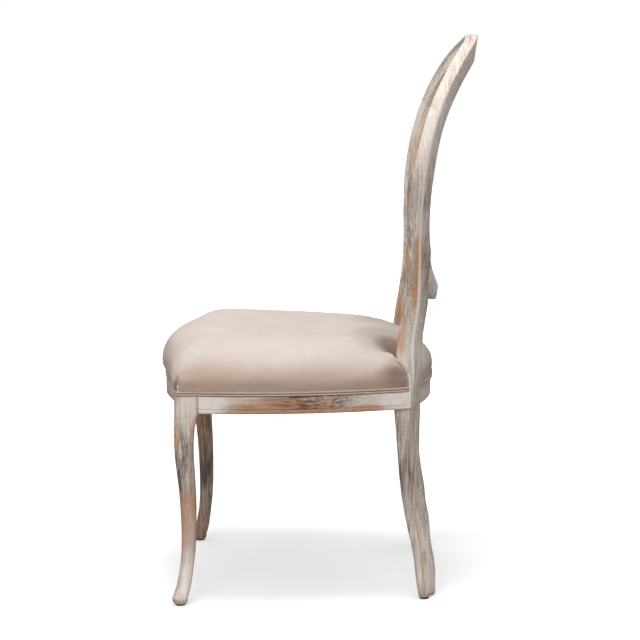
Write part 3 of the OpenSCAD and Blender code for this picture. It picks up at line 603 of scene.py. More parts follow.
cane_tree = swept_tree("cane_weaving", "FREE", "Quadrilateral", {}, (
    ("Strand width", "Height"), ("Strand thickness", "Width")), {
    "face": ("InputNamedAttribute", {"data_type": "FLOAT_VECTOR"}, {"Name": "facing"})}, (
    ("face", "Attribute", "normal", "Normal"),))
cane_finish, cane_surface, cane_where = finish_material("natural_cane")
cane_fleck = noise(cane_where, 700.0, 2.0, 0.5)
cane_colour = ramp(noise(cane_where, 60.0, 4.0, 0.6) * 0.75 + cane_fleck * 0.25, [
    (0.36, 172, 134, 88), (0.5, 206, 172, 124), (0.66, 226, 200, 158)])
feed(cane_surface, {"Base Color": cane_colour, "Roughness": 0.42, "Normal": bump(cane_fleck, 0.2, 0.0002)})
cane = woven("woven_cane", lay_strands(cane_weave), cane_tree, (
    cane_strand_width, cane_strand_thickness, cane_finish))
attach(cane, "root")
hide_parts("cane_panel")

# Cane spline
# A thin reed glued into the groove over the edge of the cane, all round the opening.
refinish("cane_spline", cane_finish)

# Front legs
# Light cabriole legs, bandsawn and shaped by hand, square where the rails are tenoned in.
# The wash is rubbed through on their arrises, at the ankle and down the front.
leg_wear = ((0.0, 0.25), (0.05, 0.0), (0.08, 0.3), (0.11, 0.9), (0.2, 0.95), (0.24, 0.3), (0.30, 0.2),
    (0.34, 0.2), (0.38, 0.0), (0.4, 0.1))
leg_dusk = ((0.0, 0.4), (0.04, 0.1), (0.09, 0.3), (0.2, 0.9), (0.31, 1.0), (0.35, 0.5), (0.4, 0.2))
# The right leg, on the far side, is rubbed more and its wash greyer and darker: partly its own wear, partly
# painted shade from under the seat
dark_leg_wear = ((0.0, 0.7), (0.1, 0.6), (0.2, 0.9), (0.35, 1.3), (0.4, 1.2))
far_leg_dusk_and_shade = ((0.0, 1.1), (0.4, 1.3))
# Painted shade on the front legs' front faces
leg_front_painted_shade = ((0.0, 0.7), (0.4, 0.7))
leg_lines = (
    (3, -255.5, -235.5, 0.5, 0.0), (20, -256.6, -230.4, 1.2, 0.0), (48, -248.3, -224.6, 2.0, 0.0),
    (65, -245.6, -222.5, 1.4, 0.0), (90, -242.9, -219.4, 1.5, 0.0), (113, -241.7, -217.7, 2.0, 0.0),
    (140, -241.3, -216.6, 2.6, 0.0), (168, -241.7, -216.4, 3.2, 0.0), (205, -243.5, -216.9, 3.4, 0.0),
    (224, -245.4, -217.6, 3.0, 0.0), (260, -249.5, -219.5, 3.2, 0.0), (300, -253.3, -220.2, 1.4, 0.0),
    (324, -254.0, -218.0, 0.0, 0.0))
for side, hand, shift, wear, dusk in (("left", 1, (0.1, 0.9, 0.2), leg_wear, leg_dusk),
        ("right", -1, (0.4, 0.3, 0.7), dark_leg_wear, far_leg_dusk_and_shade)):
    rubs = (
        (0.9, (0.24 * hand, -0.252, 0.318), (0.05, 0.009, 0.030)),
        (0.5, (0.24 * hand, -0.247, 0.385), (0.05, 0.008, 0.020)))
    stains = (
        (0.4, (0.235 * hand, -0.235, 0.270), (0.04, 0.012, 0.060)),
        (0.5, (0.23 * hand, -0.266, 0.006), (0.04, 0.012, 0.010)))
    finish = limewash("limewash_front_leg_" + side, "z", wear, dusk, shift, 0.48, rubs, stains, (leg_front_painted_shade,))
    fuller(smooth_piece("front_leg_" + side, finish), leg_lines)

# Seat rails
# Four curved rails with a bead at the lower edge and a rebate for the upholstery. The side
# rails are lapped over the rear posts, and rubbed to brown wood at their middles.
side_rail_wear = ((-0.23, -0.2), (-0.185, -0.1), (-0.15, 0.9), (-0.05, 1.2), (0.03, 1.15), (0.065, 0.5),
    (0.10, 0.55), (0.14, 0.2), (0.18, -0.1))
side_rail_dusk = ((-0.23, 0.0), (-0.17, 0.0), (-0.08, 0.7), (-0.01, 1.3), (0.04, 1.0), (0.08, 0.3),
    (0.18, 0.0))
for side, hand, shift in (("left", 1, (0.6, 0.2, 0.5)), ("right", -1, (0.9, 0.8, 0.3))):
    lap_end = (-1.1, (0.22 * hand, 0.172, 0.405), (0.06, 0.012, 0.05))
    low_edge = (0.75, (0.24 * hand, 0.095, 0.364), (0.06, 0.045, 0.009))
    under_welt = (-0.9, (0.24 * hand, -0.030, 0.3880), (0.06, 0.600, 0.0045))
    stains = (
        (0.8, (0.24 * hand, -0.008, 0.370), (0.06, 0.085, 0.013)),
        (0.6, (0.24 * hand, -0.045, 0.380), (0.06, 0.060, 0.014)),
        (0.5, (0.24 * hand, -0.130, 0.368), (0.06, 0.050, 0.009)),
        # This last one is a thin dark line just under the welt all along the rail: painted shadow of the welt
        (0.7, (0.24 * hand, -0.030, 0.3886), (0.06, 0.400, 0.0022)))
    finish = limewash("limewash_side_rail_" + side, "y", side_rail_wear, side_rail_dusk, shift, 0.5,
        (lap_end, low_edge, under_welt), stains)
    smooth_piece("side_rail_" + side, finish)
cross_rail_wear = ((-0.2, 0.1), (-0.1, 0.6), (0.0, 0.8), (0.1, 0.6), (0.2, 0.1))
cross_rail_dusk = ((-0.2, 0.5), (0.0, 0.3), (0.2, 0.5))
for name, shift in (("front_rail", (0.3, 0.7, 0.6)), ("rear_rail", (0.5, 0.1, 0.2))):
    finish = limewash("limewash_" + name, "x", cross_rail_wear, cross_rail_dusk, shift, 0.5)
    smooth_piece(name, finish)

# Corner blocks
# Pine blocks glued into the corners of the seat frame, the front pair screwed to the legs
# with zinc-plated screws.
pine = planed("rough_pine", (186, 148, 102), (214, 186, 142))
for corner in ("front_left", "front_right", "rear_left", "rear_right"):
    refinish("corner_block_" + corner, pine)
steel_stops = [(0.35, 138, 140, 142), (0.65, 178, 180, 182)]
steel_polish = [(0.35, 0.5), (0.65, 0.32)]
steel = mottled("zinc_plated_steel", (400.0, 3.0, 0.6), steel_stops, steel_polish, metallic=1.0)
refinish("corner_block_screws", steel)

# Webbing and hessian
# Herringbone jute straps, stretched and woven front to back and side to side, their ends
# tacked down on the rails, with a hessian sheet over them to carry the foam.


def plain_weave(name, pale, dark, threads):
    """Cloth of crossing threads in the plane of X and Y, with so many threads to the metre."""
    material, surface, where = finish_material(name)
    inputs = {"Vector": where, "Scale": threads / 20, "Distortion": 1.2, "Detail Scale": 3.0}
    warp = shader(where.tree, "TexWave", inputs, "Fac", wave_type="BANDS", bands_direction="X")
    weft = shader(where.tree, "TexWave", inputs, "Fac", wave_type="BANDS", bands_direction="Y")
    weave = warp.calc("MAXIMUM", weft)
    tone = weave * 0.5 + noise(where, 90.0, 2.0, 0.5) * 0.5
    feed(surface, {"Base Color": ramp(tone, [(0.3, *dark), (0.75, *pale)]), "Roughness": 0.95,
        "Normal": bump(weave, 0.6, 0.0008)})
    return material


jute = plain_weave("jute_webbing", (172, 146, 106), (122, 98, 66), 500)
refinish("seat_webbing_lengthwise", jute)
refinish("seat_webbing_crosswise", jute)
refinish("webbing_tacks", steel)
refinish("hessian_sheet", plain_weave("hessian", (180, 154, 114), (132, 106, 72), 700))

# Seat cover
# Taupe velvet pulled over the foam and stapled in the rails' rebate. It is cut
# round the rear posts, tucked in there, and pleated once at each front corner.
welt_line = 0.388
block_front_y = -0.2535
block_rear_y = -0.2095
block_out_x = 0.249
block_in_x = 0.205
front_bow = 0.035
post_in_x = 0.159
post_out_x = 0.187
post_front_y = 0.1468
lap_end_y = 0.1738
rear_face_y = 0.21505
corner_round = 0.012
side_bow = 0.022


def arc(x, y, radius, ways):
    """The points of an arc with their outward ways."""
    return [(x + radius * out_x, y + radius * out_y, out_x, out_y) for out_x, out_y in ways]


def seat_outline():
    """The seat frame's outline from above as x, y and the outward way, from the front middle round."""
    half = []
    for x in np.linspace(0, block_in_x, 60)[:-1]:
        turn = front_bow * math.pi / 2 / block_in_x * math.sin(math.pi * x / block_in_x)
        y = block_front_y - front_bow * math.cos(math.pi / 2 * x / block_in_x) ** 2
        half.append((x, y, turn / math.hypot(turn, 1), -1 / math.hypot(turn, 1)))
    for x in np.linspace(block_in_x, block_out_x - corner_round, 12)[:-1]:
        half.append((x, block_front_y, 0.0, -1.0))
    half += arc(block_out_x - corner_round, block_front_y + corner_round, corner_round, [
        (math.cos(angle), math.sin(angle)) for angle in np.radians(np.linspace(-90, 0, 16))])
    first = np.array([block_out_x, block_rear_y])
    last = np.array([post_out_x + 0.006, lap_end_y])
    length = np.linalg.norm(last - first)
    radius = (length ** 2 / 4 + side_bow ** 2) / (2 * side_bow)
    inward = np.array([-(last - first)[1], (last - first)[0]]) / length
    centre = (first + last) / 2 + inward * (radius - side_bow)
    start, stop = (math.atan2(*(p - centre)[::-1]) for p in (first, last))
    half += arc(*centre, radius, [
        (math.cos(angle), math.sin(angle)) for angle in np.linspace(start, stop, 110)])
    rear_end = math.asin((post_out_x - 0.004) / barrel_radius)
    half += arc(0, rear_face_y - barrel_radius, barrel_radius, [
        (math.sin(angle), math.cos(angle)) for angle in np.linspace(rear_end, 0, 60)])
    half = np.array(half)
    return half, np.vstack([half, half[-2:0:-1] * np.array([-1, 1, -1, 1])])


def laid_out(path, step):
    """A path of points laid out again with one short step."""
    path = np.asarray(path)
    run = np.concatenate([[0], np.cumsum(np.linalg.norm(np.diff(path[:, :2], axis=0), axis=1))])
    at = np.linspace(0, run[-1], int(round(run[-1] / step)) + 1)
    return np.column_stack([np.interp(at, run, path[:, c]) for c in range(path.shape[1])])


def ease(t):
    t = np.clip(t, 0, 1)
    return t * t * (3 - 2 * t)


half_outline, outline = seat_outline()
outline = laid_out(np.vstack([outline, outline[:1]]), 0.006)[:-1]
around = len(outline)
bulge_z = 0.414
dome_middle = np.array([0.0, -0.0395])
flat_share = 0.62
edge_spread = 1.5
crown_spread = 4
hem_inset = np.interp(outline[:, 1], [0.14, 0.20], [0.0032, 0.0])
overhang = np.interp(outline[:, 1], [-0.29, -0.20, 0.0, 0.14, 0.20], [0.0105, 0.0090, 0.0080, 0.0045, 0.0035])
crown_y = [-0.31, -0.235, -0.185, -0.11, -0.034, 0.0425, 0.0806, 0.1187, 0.1472, 0.18, 0.22]
crown_z = [0.4940, 0.4936, 0.4872, 0.4840, 0.4817, 0.4800, 0.4801, 0.4796, 0.4770, 0.4690, 0.4560]
crown_fine = np.linspace(crown_y[0], crown_y[-1], 200)
crown_smooth = np.pad(np.interp(crown_fine, crown_y, crown_z), 15, mode="edge")
crown_smooth = np.convolve(crown_smooth, np.ones(31) / 31, "valid")


def rounded(ring, spread):
    """A closed ring of points, each moved to the mean of its neighbours over this many steps."""
    if spread < 0.5:
        return ring
    reach = int(3 * spread)
    weight = np.exp(-0.5 * (np.arange(-reach, reach + 1) / spread) ** 2)
    weight /= weight.sum()
    return sum(w * np.roll(ring, k, axis=0) for w, k in zip(weight, range(-reach, reach + 1)))


def bridged(ring):
    """A ring whose hollow stretches are bridged, as pulled cloth bridges them."""
    turns = np.radians(np.arange(0, 360, 0.5))
    ways = np.column_stack([np.cos(turns), np.sin(turns)])
    reach = ((ring - dome_middle) @ ways.T).max(axis=0)
    out = ring - dome_middle
    facing = out @ ways.T / np.linalg.norm(out, axis=1)[:, None]
    span = np.where(facing > 0.2, reach / np.maximum(facing, 0.2), 9.0).min(axis=1)
    return dome_middle + out * (span / np.linalg.norm(out, axis=1))[:, None]


bulged = outline[:, :2] + overhang[:, None] * outline[:, 2:]
dome_rings = []
for t in np.linspace(0, 1, 9)[:-1]:
    inset = hem_inset - (hem_inset + overhang) * ease(t)
    ring = outline[:, :2] - inset[:, None] * outline[:, 2:]
    height = np.full(around, welt_line + 0.0003 + (bulge_z - welt_line) * t)
    dome_rings.append(np.column_stack([rounded(ring, edge_spread * t), height]))
for turn in np.radians(np.linspace(0, 90, 27)):
    share = flat_share + (1 - flat_share) * math.cos(turn)
    ring = rounded(bulged, edge_spread + crown_spread * math.sin(turn))
    ring = ring + (bridged(ring) - ring) * min(1.0, 1.5 * math.sin(turn))
    ring = dome_middle + share * (ring - dome_middle)
    top = np.interp(ring[:, 1], crown_fine, crown_smooth)
    dome_rings.append(np.column_stack([ring, bulge_z + (top - bulge_z) * math.sin(turn) ** 0.86]))
crown_ring = bridged(rounded(bulged, edge_spread + crown_spread))
for share in np.linspace(flat_share, 0.03, 26)[1:]:
    ring = dome_middle + share * (crown_ring - dome_middle)
    dome_rings.append(np.column_stack([ring, np.interp(ring[:, 1], crown_fine, crown_smooth)]))
dome_points = np.vstack(dome_rings)
dome_faces = [[r * around + k, r * around + (k + 1) % around, (r + 1) * around + (k + 1) % around,
    (r + 1) * around + k] for r in range(len(dome_rings) - 1) for k in range(around)]
dome_faces.append(list(range(around))[::-1])
dome_faces.append([(len(dome_rings) - 1) * around + k for k in range(around)])
cover_mesh = bpy.data.meshes.new("seat_cover_upholstered")
cover_mesh.from_pydata(dome_points.tolist(), [], dome_faces)
cover = put("seat_cover_upholstered", cover_mesh)


def modify(piece, name, kind, **settings):
    """A new modifier of a piece, with its settings."""
    modifier = piece.modifiers.new(name, kind)
    adjust(modifier, **settings)
    return modifier


def apply_all(piece):
    """The piece's modifiers are worked into its mesh."""
    done = piece.evaluated_get(bpy.context.evaluated_depsgraph_get())
    mesh = bpy.data.meshes.new_from_object(done)
    piece.modifiers.clear()
    piece.data = mesh


def vertex_places(piece, what="co"):
    flat = np.empty(len(piece.data.vertices) * 3)
    piece.data.vertices.foreach_get(what, flat)
    return flat.reshape(-1, 3)


modify(cover, "even", "REMESH", mode="VOXEL", voxel_size=0.0060)
apply_all(cover)

# The foam presses the cloth out, and the staples and the posts hold it
taut = vertex_places(cover)
cloth_steps = 20
most_settling = 0.0025
beside = np.maximum(post_in_x - 0.004 - np.abs(taut[:, 0]), 0)
post_gap = np.hypot(beside, np.maximum(post_front_y - taut[:, 1], 0))
held = (taut[:, 2] < welt_line + 0.008) | (post_gap < 0.010)
cover.vertex_groups.new(name="held").add([int(k) for k in np.nonzero(held)[0]], 1.0, "REPLACE")
cloth = modify(cover, "cloth", "CLOTH")
adjust(cloth.settings, vertex_group_mass="held", use_pressure=True, uniform_pressure_force=4.0,
    quality=4, mass=0.25, tension_stiffness=25, compression_stiffness=25, bending_stiffness=2.0)
cloth.settings.effector_weights.gravity = 0.0
cloth.collision_settings.use_collision = False
cloth.point_cache.frame_start = 1
cloth.point_cache.frame_end = cloth_steps
for step in range(1, cloth_steps + 1):
    scene.frame_set(step)
apply_all(cover)
scene.frame_set(1)
moved = vertex_places(cover) - taut
distance = np.maximum(np.linalg.norm(moved, axis=1, keepdims=True), 1e-9)
settled = taut + moved * np.minimum(1, most_settling / distance)
cover.data.vertices.foreach_set("co", settled.ravel())
cover.vertex_groups.clear()
modify(cover, "soften", "SMOOTH", factor=0.5, iterations=4)
modify(cover, "round_off", "SUBSURF", levels=1, render_levels=1)
apply_all(cover)

# The cover's cut edge beside a post runs down in a quarter round from the post's front
quarter = [
    (0.1440, 0.4510), (0.1480, 0.4478), (0.1515, 0.4450), (0.1550, 0.4420), (0.1585, 0.4385),
    (0.1615, 0.4345), (0.1640, 0.4300), (0.1662, 0.4245), (0.1680, 0.4180), (0.1692, 0.4110),
    (0.1697, 0.4030)]


def fold(away, width):
    """The round profile of a fold: one on its line, and fading over its width."""
    return np.exp(-(away / width) ** 2)


# The pleat at each front corner, the tuck beside the posts and the slack above the welt
place = vertex_places(cover)
outward = vertex_places(cover, "normal")
height = place[:, 2] - welt_line
push = np.zeros(len(place))
drop = np.zeros(len(place))
for side in (-1, 1):
    across = place[:, 0] * side
    from_corner = place[:, 1] - (block_front_y + 0.004)
    near_corner = ease((across - 0.222) / 0.015) * ease((0.040 - height) / 0.014)
    lean_back = from_corner - 0.06 * height
    for gain, middle, width in ((-0.0062, 0.0, 0.0024), (0.0012, -0.0070, 0.0040), (0.0010, 0.0065, 0.0040)):
        push += gain * near_corner * fold(lean_back - middle, width)
    before_post = post_front_y - place[:, 1]
    close = np.maximum(before_post, 0)
    off_post = np.hypot(np.maximum(post_in_x - across, 0), close)
    tucked = 0.0170 * fold(off_post, 0.013) + 0.0090 * np.exp(-off_post / 0.026)
    drop += tucked * ease((0.189 - across) / 0.009) * ease((height - 0.03) / 0.02)
    ear = np.exp(-((across - 0.196) / 0.017) ** 2 - (close / 0.034) ** 2)
    push += 0.0085 * ear * ease((height - 0.028) / 0.022)
    edge_y, edge_z = zip(*quarter[::-1])
    to_edge = np.interp(place[:, 2], edge_z, edge_y) - place[:, 1]
    push -= 0.0030 * fold(to_edge, 0.006) * ease((across - 0.180) / 0.008)
    for start_z, slope, reach, width, depth in (
            (0.063, 1.90, 0.030, 0.0045, 0.0026), (0.058, 1.05, 0.034, 0.0045, 0.0018),
            (0.050, 0.45, 0.030, 0.0040, 0.0012)):
        line = (height - start_z - slope * before_post) / math.hypot(1, slope)
        fade = np.exp(-close / reach) * ease((across - 0.13) / 0.04) * (before_post > -0.02)
        push -= depth * fade * fold(line, width)
        push += 0.5 * depth * fade * fold(line + 1.9 * width, 1.2 * width)
around_seat = np.arctan2(place[:, 1] - dome_middle[1], place[:, 0])
slack = ease((height - 0.004) / 0.006) * ease((0.026 - height) / 0.016)
ripple = np.sin(around_seat * 46 + 0.7 * np.sin(around_seat * 13)) + 0.6 * np.sin(around_seat * 83 + 1.1)
push += 0.0003 * slack * ripple / 1.6
lie = np.sin(place[:, 0] * 17 + 0.6) * np.sin(place[:, 1] * 13 - 0.4)
push += 0.0004 * lie * ease((height - 0.05) / 0.05)
place = place + outward * push[:, None]
place[:, 2] -= drop
cover.data.vertices.foreach_set("co", place.ravel())

# The places of the posts and of the side rails' laps are cut out of it
front_line = post_front_y - 0.0012
far_out = 0.5
below, above = 0.3, 0.7
column = [(front_line, below), (far_out, below), (far_out, above), (front_line, above)]
lap = quarter + [(quarter[-1][0], below), (far_out, below), (far_out, above), (quarter[0][0], above)]
for profile, in_x, out_x in ((column, post_in_x - 0.001, post_out_x + 0.001), (lap, post_out_x - 0.002, 0.4)):
    cutter = put("post_room", bpy.data.meshes.new("post_room"))
    with opened(cutter.data) as shape:
        for side in (-1, 1):
            near = [shape.verts.new((side * in_x, y, z)) for y, z in profile]
            far = [shape.verts.new((side * out_x, y, z)) for y, z in profile]
            shape.faces.new(near)
            shape.faces.new(far[::-1])
            for k in range(len(profile)):
                n = (k + 1) % len(profile)
                shape.faces.new((near[n], near[k], far[k], far[n]))
        bmesh.ops.recalc_face_normals(shape, faces=shape.faces)
    modify(cover, "posts", "BOOLEAN", operation="DIFFERENCE", solver="EXACT", object=cutter)
    apply_all(cover)
    bpy.data.objects.remove(cutter)

# The foam fills it, a little set in, and beside the posts it stays well in front of the cut
foam_inset = 0.0060
foam_in_x = 0.1565
foam_stop_y = 0.130
foam_drawn_in = 0.15
foam_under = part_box("seat_foam")[0][2]
foam_mesh = cover.data.copy()
with opened(foam_mesh) as shape:
    for corner in shape.verts:
        corner.co -= foam_inset * corner.normal
        if abs(corner.co.x) > foam_in_x and corner.co.y > foam_stop_y:
            corner.co.y = foam_stop_y + foam_drawn_in * (corner.co.y - foam_stop_y)
    everything = shape.verts[:] + shape.edges[:] + shape.faces[:]
    bmesh.ops.bisect_plane(shape, geom=everything, plane_co=(0, 0, foam_under), plane_no=(0, 0, 1),
        clear_inner=True)
    bmesh.ops.holes_fill(shape, edges=[e for e in shape.edges if e.is_boundary], sides=0)
    bmesh.ops.recalc_face_normals(shape, faces=shape.faces)

# Only the skin is kept: the under-side, which sits on the hessian, is open
with opened(cover.data) as shape:
    under = [f for f in shape.faces if f.normal.z < -0.6 and f.calc_center_median().z < welt_line + 0.003]
    bmesh.ops.delete(shape, geom=under, context="FACES")
modify(cover, "cloth_wall", "SOLIDIFY", thickness=0.0013, offset=-1)
apply_all(cover)


def velvet(name, pale, middle, dark, thread, painted_shade_spots=(), painted_groove_shade=()):
    """Short-piled woven cloth, its threads this far apart, brushed a little lighter and darker.
    The shade spots are (amount, centre, reach) of places darkened as painted shade, and the groove
    shade is (amount, height, reach) of thin dark lines of painted shade that run level round the seat."""
    material, surface, where = finish_material(name)
    spots = split(where)
    ways = split(shader(where.tree, "NewGeometry", out="Normal"))
    layers = []
    for a, b, c in ((0, 1, 2), (1, 2, 0), (0, 2, 1)):
        warp, weft = ((spots[k] * (math.pi / thread)).calc("SINE") for k in (a, b))
        layers.append(warp * weft * ways[c].calc("ABSOLUTE").calc("POWER", 4.0))
    weave = layers[0] + layers[1] + layers[2]
    brushed = noise(stretched(where, (1.0, 1.0, 1.6)), 14.0, 3.0, 0.55)
    slub = noise(stretched(where, (1.0, 0.35, 0.6)), 160.0, 4.0, 0.6)
    fleck = noise(where, 1100.0, 2.0, 0.6)
    colour = ramp(brushed * 0.5 + slub * 0.3 + fleck * 0.2, [(0.30, *dark), (0.5, *middle), (0.70, *pale)])
    colour = blend(1.0, colour, ramp(weave * 0.5 + 0.5, [(0.0, 0.90), (1.0, 1.0)]), "MULTIPLY")

    # Painted light and shade: the tone is whiter where the cloth faces up, and warmer and darker where it
    # turns to the side or down
    lie = ramp(ways[2], [(0.0, 243, 224, 210), (0.45, 246, 236, 229), (0.8, 250, 247, 245)])
    colour = blend(1.0, colour, lie, "MULTIPLY")
    # Painted shade: soft spots where the cloth is darkened as though it lay in shade
    for amount, *spot in painted_shade_spots:
        shaded_tone = blend(1.0, colour, paint(150, 132, 120), "MULTIPLY")
        colour = blend(rub(where, *spot) * amount, colour, shaded_tone)
    # Painted shade: thin dark level lines at the given heights, where the welt's grooves lie in shade
    for amount, level, reach in painted_groove_shade:
        away = (spots[2] - level).calc("ABSOLUTE").calc("DIVIDE", reach)
        colour = blend(ramp(away, [(0.3, 1.0), (1.0, 0.0)]) * amount, colour, paint(98, 82, 72))
    threads = bump(weave * 0.6 + fleck * 0.4, 0.3, 0.0004)
    feed(surface, {
        "Base Color": colour, "Normal": bump(slub, 0.25, 0.0015, threads), "Roughness": 0.9,
        "Specular IOR Level": 0.15, "Sheen Weight": 0.35, "Sheen Roughness": 0.45,
        "Sheen Tint": paint(236, 228, 220)})
    return material


# Painted shade on the cover: at its rear under the back, along its front edge, round the dip and tuck before
# each post, on the ear below it, and in each front pleat
painted_shade_spots = [(0.6, (0, 0.235, 0.43), (0.22, 0.055, 0.09)), (0.42, (0, -0.300, 0.42), (0.30, 0.050, 0.075))]
for hand in (-1, 1):
    painted_shade_spots += [
        (0.40, (0.105 * hand, 0.135, 0.476), (0.130, 0.085, 0.050)),
        (0.75, (0.142 * hand, 0.140, 0.464), (0.060, 0.042, 0.038)),
        (0.80, (0.172 * hand, 0.143, 0.452), (0.020, 0.020, 0.022)),
        (0.45, (0.215 * hand, 0.158, 0.418), (0.060, 0.045, 0.045)),
        (0.60, (0.252 * hand, -0.2500, 0.404), (0.030, 0.0035, 0.020))]
taupe = velvet("taupe_velvet", (216, 207, 201), (209, 199, 192), (200, 189, 181), 0.0009, painted_shade_spots)
dress(cover.data, taupe, 50)
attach(cover, "root")
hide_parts("seat_cover")

# Seat foam
# A crowned block of cut foam on the hessian, wrapped by the cover on every side that shows
# and pressed by it to the same shape.
foam = put("seat_foam_cut", foam_mesh)
foam_stops = [(0.3, 218, 204, 160), (0.7, 240, 230, 196)]
dress(foam_mesh, mottled("cut_foam", (900.0, 3.0, 0.7), foam_stops, 1.0, (0.8, 0.001)), 50)
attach(foam, "root")
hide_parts("seat_foam")

# Double welt
# Two piping cords side by side in one folded strip of the cover's cloth, glued on over the
# staples where the cover ends. One runs round the seat from post to post, one behind.
bead = 0.0046
bead_inset = 0.0007
bead_press = 0.97
welt_gap = 0.0003
welt_step = 0.003
welt_end_y = 0.1712
welt_tree = swept_tree("welt_cording", "Z_UP", "Circle", {"Resolution": 14}, (("Bead radius", "Radius"),))


def welt_lines(path):
    """The middle lines of both beads along a path of x, y and the outward way."""
    runs = []
    for up in (-1, 1):
        level = welt_line + welt_gap + bead + up * bead / 2 * bead_press
        run = []
        for k, (x, y, out_x, out_y) in enumerate(path):
            inset = bead_inset + 0.00018 * math.sin(k * 0.9 + up) + 0.00012 * math.sin(k * 2.3)
            run.append((x - inset * out_x, y - inset * out_y, level))
        runs.append(run)
    return line_mesh("welt_lines", runs)


# Painted shade on the welt: in the groove between the beads, under the lower bead and over the upper one
painted_groove_shade = [(amount, welt_line + rise, reach) for amount, rise, reach in (
    (0.85, 0.0049, 0.0011), (0.90, 0.0004, 0.0013), (0.55, 0.0096, 0.0009))]
bias_cloth = velvet("welt_cloth", (224, 212, 202), (214, 201, 190), (198, 184, 172), 0.0008, (), painted_groove_shade)
side_end = np.nonzero(half_outline[:, 1] < welt_end_y)[0].max()
front_half = half_outline[:side_end + 1]
front_path = np.vstack([(front_half * np.array([-1, 1, -1, 1]))[:0:-1], front_half])
rear_middle_y = rear_face_y + 0.0022 - barrel_radius
rear_turn = math.asin((post_in_x - 0.003) / barrel_radius)
rear_path = arc(0, rear_middle_y, barrel_radius, [
    (math.sin(angle), math.cos(angle)) for angle in np.linspace(-1, 1, 41) * rear_turn])
for end, path in (("front", front_path), ("rear", rear_path)):
    beads = welt_lines(laid_out(path, welt_step))
    welt = woven("double_welt_" + end + "_sewn", beads, welt_tree, (bead / 2, bias_cloth))
    welt.data.shade_smooth()
    welt.data.set_sharp_from_angle(angle=math.radians(60))
    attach(welt, "root")
    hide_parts("double_welt_" + end)

# The cover's cut edge beside each post is rolled over a thin cord. A ray from the side finds the
# cover just inside the cut, and the cord lies on what it finds
cord_radius = 0.0015
cord_far_x = 0.4
cord_near_x = 0.197
cover_tree = BVHTree.FromObject(cover, bpy.context.evaluated_depsgraph_get())
edge_runs = []
for side in (-1, 1):
    edge_run = []
    for y, z in quarter + [(0.1697, 0.4005), (0.1697, 0.3985)]:
        start = Vector((side * cord_far_x, y - 0.0022, z - 0.0008))
        hit = cover_tree.ray_cast(start, Vector((-side, 0, 0)))[0] or Vector((side * cord_near_x, y, z))
        edge_run.append((hit.x - side * 0.0010, y - 0.0012, z - 0.0006))
    edge_runs.append(edge_run)
rolled_edge = woven("seat_cover_rolled_edge", line_mesh("rolled_edge_lines", edge_runs), welt_tree,
    (cord_radius, bias_cloth))
rolled_edge.data.shade_smooth()
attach(rolled_edge, "root")

# Dust cover
# A black non-woven cloth under the seat frame, fixed with a row of wire staples.
refinish("dust_cover", mottled("black_dust_cloth", (420.0, 5.0, 0.7),
    [(0.35, 22, 22, 23), (0.68, 46, 45, 46)], 0.95, (0.5, 0.0006)))
staple_tree = line_tree("staple_row", (("Pitch", "Float"), ("Crown size", "Vector")), {
    "points": ("CurveToPoints", {"mode": "LENGTH"}, {}),
    "crown": ("MeshCube", {}, {}),
    "place": ("InstanceOnPoints", {}, {})}, (
    ("curve", "Curve", "points", "Curve"), ("given", "Pitch", "points", "Length"),
    ("points", "Points", "place", "Points"), ("points", "Rotation", "place", "Rotation"),
    ("given", "Crown size", "crown", "Size"), ("crown", "Mesh", "place", "Instance"),
    ("place", "Instances", "real", "Geometry")))
staple_pitch = 0.038
staple_size = (0.0007, 0.0007, 0.010)
staple_inset = 0.014
dust_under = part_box("dust_cover")[0][2]
staple_z = dust_under - 0.0002
front_edge = [q for q in half_outline if q[0] < block_in_x - 0.012 and q[1] < 0]
side_edge = [q for q in half_outline if q[0] > 0.175 and block_rear_y + 0.012 < q[1] < post_front_y - 0.015]
rear_edge = [q for q in half_outline if q[1] > 0.15 and q[0] < post_in_x - 0.012]
staple_runs = [
    [(side * (x - staple_inset * out_x), y - staple_inset * out_y, staple_z) for x, y, out_x, out_y in edge]
    for edge in (front_edge, side_edge, rear_edge) for side in (-1, 1)]
staples = woven("dust_cover_staples", line_mesh("staple_line", staple_runs), staple_tree, (
    staple_pitch, staple_size, steel))
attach(staples, "root")

# Glides
# Nail-on nylon glides under the four feet.
refinish("foot_glides", mottled("brown_nylon", (300.0, 4.0, 0.6),
    [(0.35, 64, 54, 47), (0.7, 92, 80, 70)], [(0.35, 0.45), (0.7, 0.65)]))

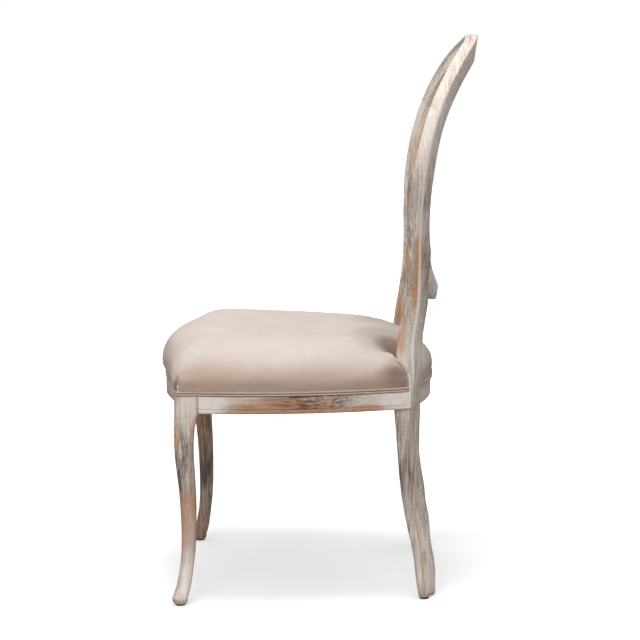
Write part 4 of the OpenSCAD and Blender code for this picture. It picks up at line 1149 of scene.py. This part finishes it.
# Floor and light
# A plain pale floor that runs back to a white surround. One soft lamp hangs above the chair, a
# larger and weaker one stands on its near side, and the room gives the rest, mostly from above.
floor_reach = 9
floor_mesh = bpy.data.meshes.new("floor")
floor_corners = [(x * floor_reach, y * floor_reach, 0) for x, y in ((-1, -1), (1, -1), (1, 1), (-1, 1))]
floor_mesh.from_pydata(floor_corners, [], [(0, 1, 2, 3)])
floor = put("floor", floor_mesh)
floor_material, floor_surface, floor_where = finish_material("pale_floor")
floor_nodes = floor_where.tree
floor_seen = shader(floor_nodes, "LightPath", out="Is Camera Ray")
feed(floor_surface, {"Roughness": 1.0, "Specular IOR Level": 0.0,
    "Base Color": blend(floor_seen, (0.22, 0.22, 0.22, 1), (0.75, 0.75, 0.75, 1))})
floor_away = shader(floor_nodes, "VectorMath", {0: floor_where}, "Value", operation="LENGTH")
floor_fade = shader(floor_nodes, "MapRange", {
    "Value": floor_away, "From Min": 0.7, "From Max": 2.6, "To Min": 0.385, "To Max": 1.1})
floor_glow = shader(floor_nodes, "Emission", {"Color": (1, 1, 1, 1), "Strength": floor_seen * floor_fade})
floor_matt = Amount(floor_nodes, floor_surface.outputs[0])
floor_light = shader(floor_nodes, "AddShader", {0: floor_matt, 1: floor_glow})
feed(floor_nodes.nodes["Material Output"], {"Surface": floor_light})
floor_mesh.materials.append(floor_material)

lamp_aim = Vector((0, 0, 0.45))
for lamp_name, place, size, energy in (
        ("high_lamp", (0.5, -0.15, 3.7), 1.1, 52),
        ("near_lamp", (3.3, -0.5, 1.9), 2.8, 57)):
    lamp_data = bpy.data.lights.new(lamp_name, "AREA")
    lamp_data.shape = "DISK"
    lamp_data.size = size
    lamp_data.energy = energy
    lamp = put(lamp_name, lamp_data)
    lamp.location = place
    lamp.rotation_euler = (Vector(place) - lamp_aim).to_track_quat("Z", "Y").to_euler()

world = bpy.data.worlds.new("white_surround")
world.use_nodes = True
scene.world = world
room = world.node_tree
seen = shader(room, "LightPath", out="Is Camera Ray")
for ray in ("Is Glossy Ray", "Is Transmission Ray"):
    seen = seen.calc("MAXIMUM", shader(room, "LightPath", out=ray))
to_rear, to_sky = split(shader(room, "TexCoord", out="Generated"))[1:]
room_light = shader(room, "MapRange", {"Value": to_sky, "To Min": 0.20, "To Max": 0.85})
room_light += to_rear.calc("MAXIMUM", 0.0) * 0.22
room_strength = shader(room, "MapRange", {"Value": seen, "To Min": room_light, "To Max": 1.0})
feed(room.nodes["Background"], {"Color": (1, 1, 1, 1), "Strength": room_strength})
scene.view_settings.view_transform = "Standard"
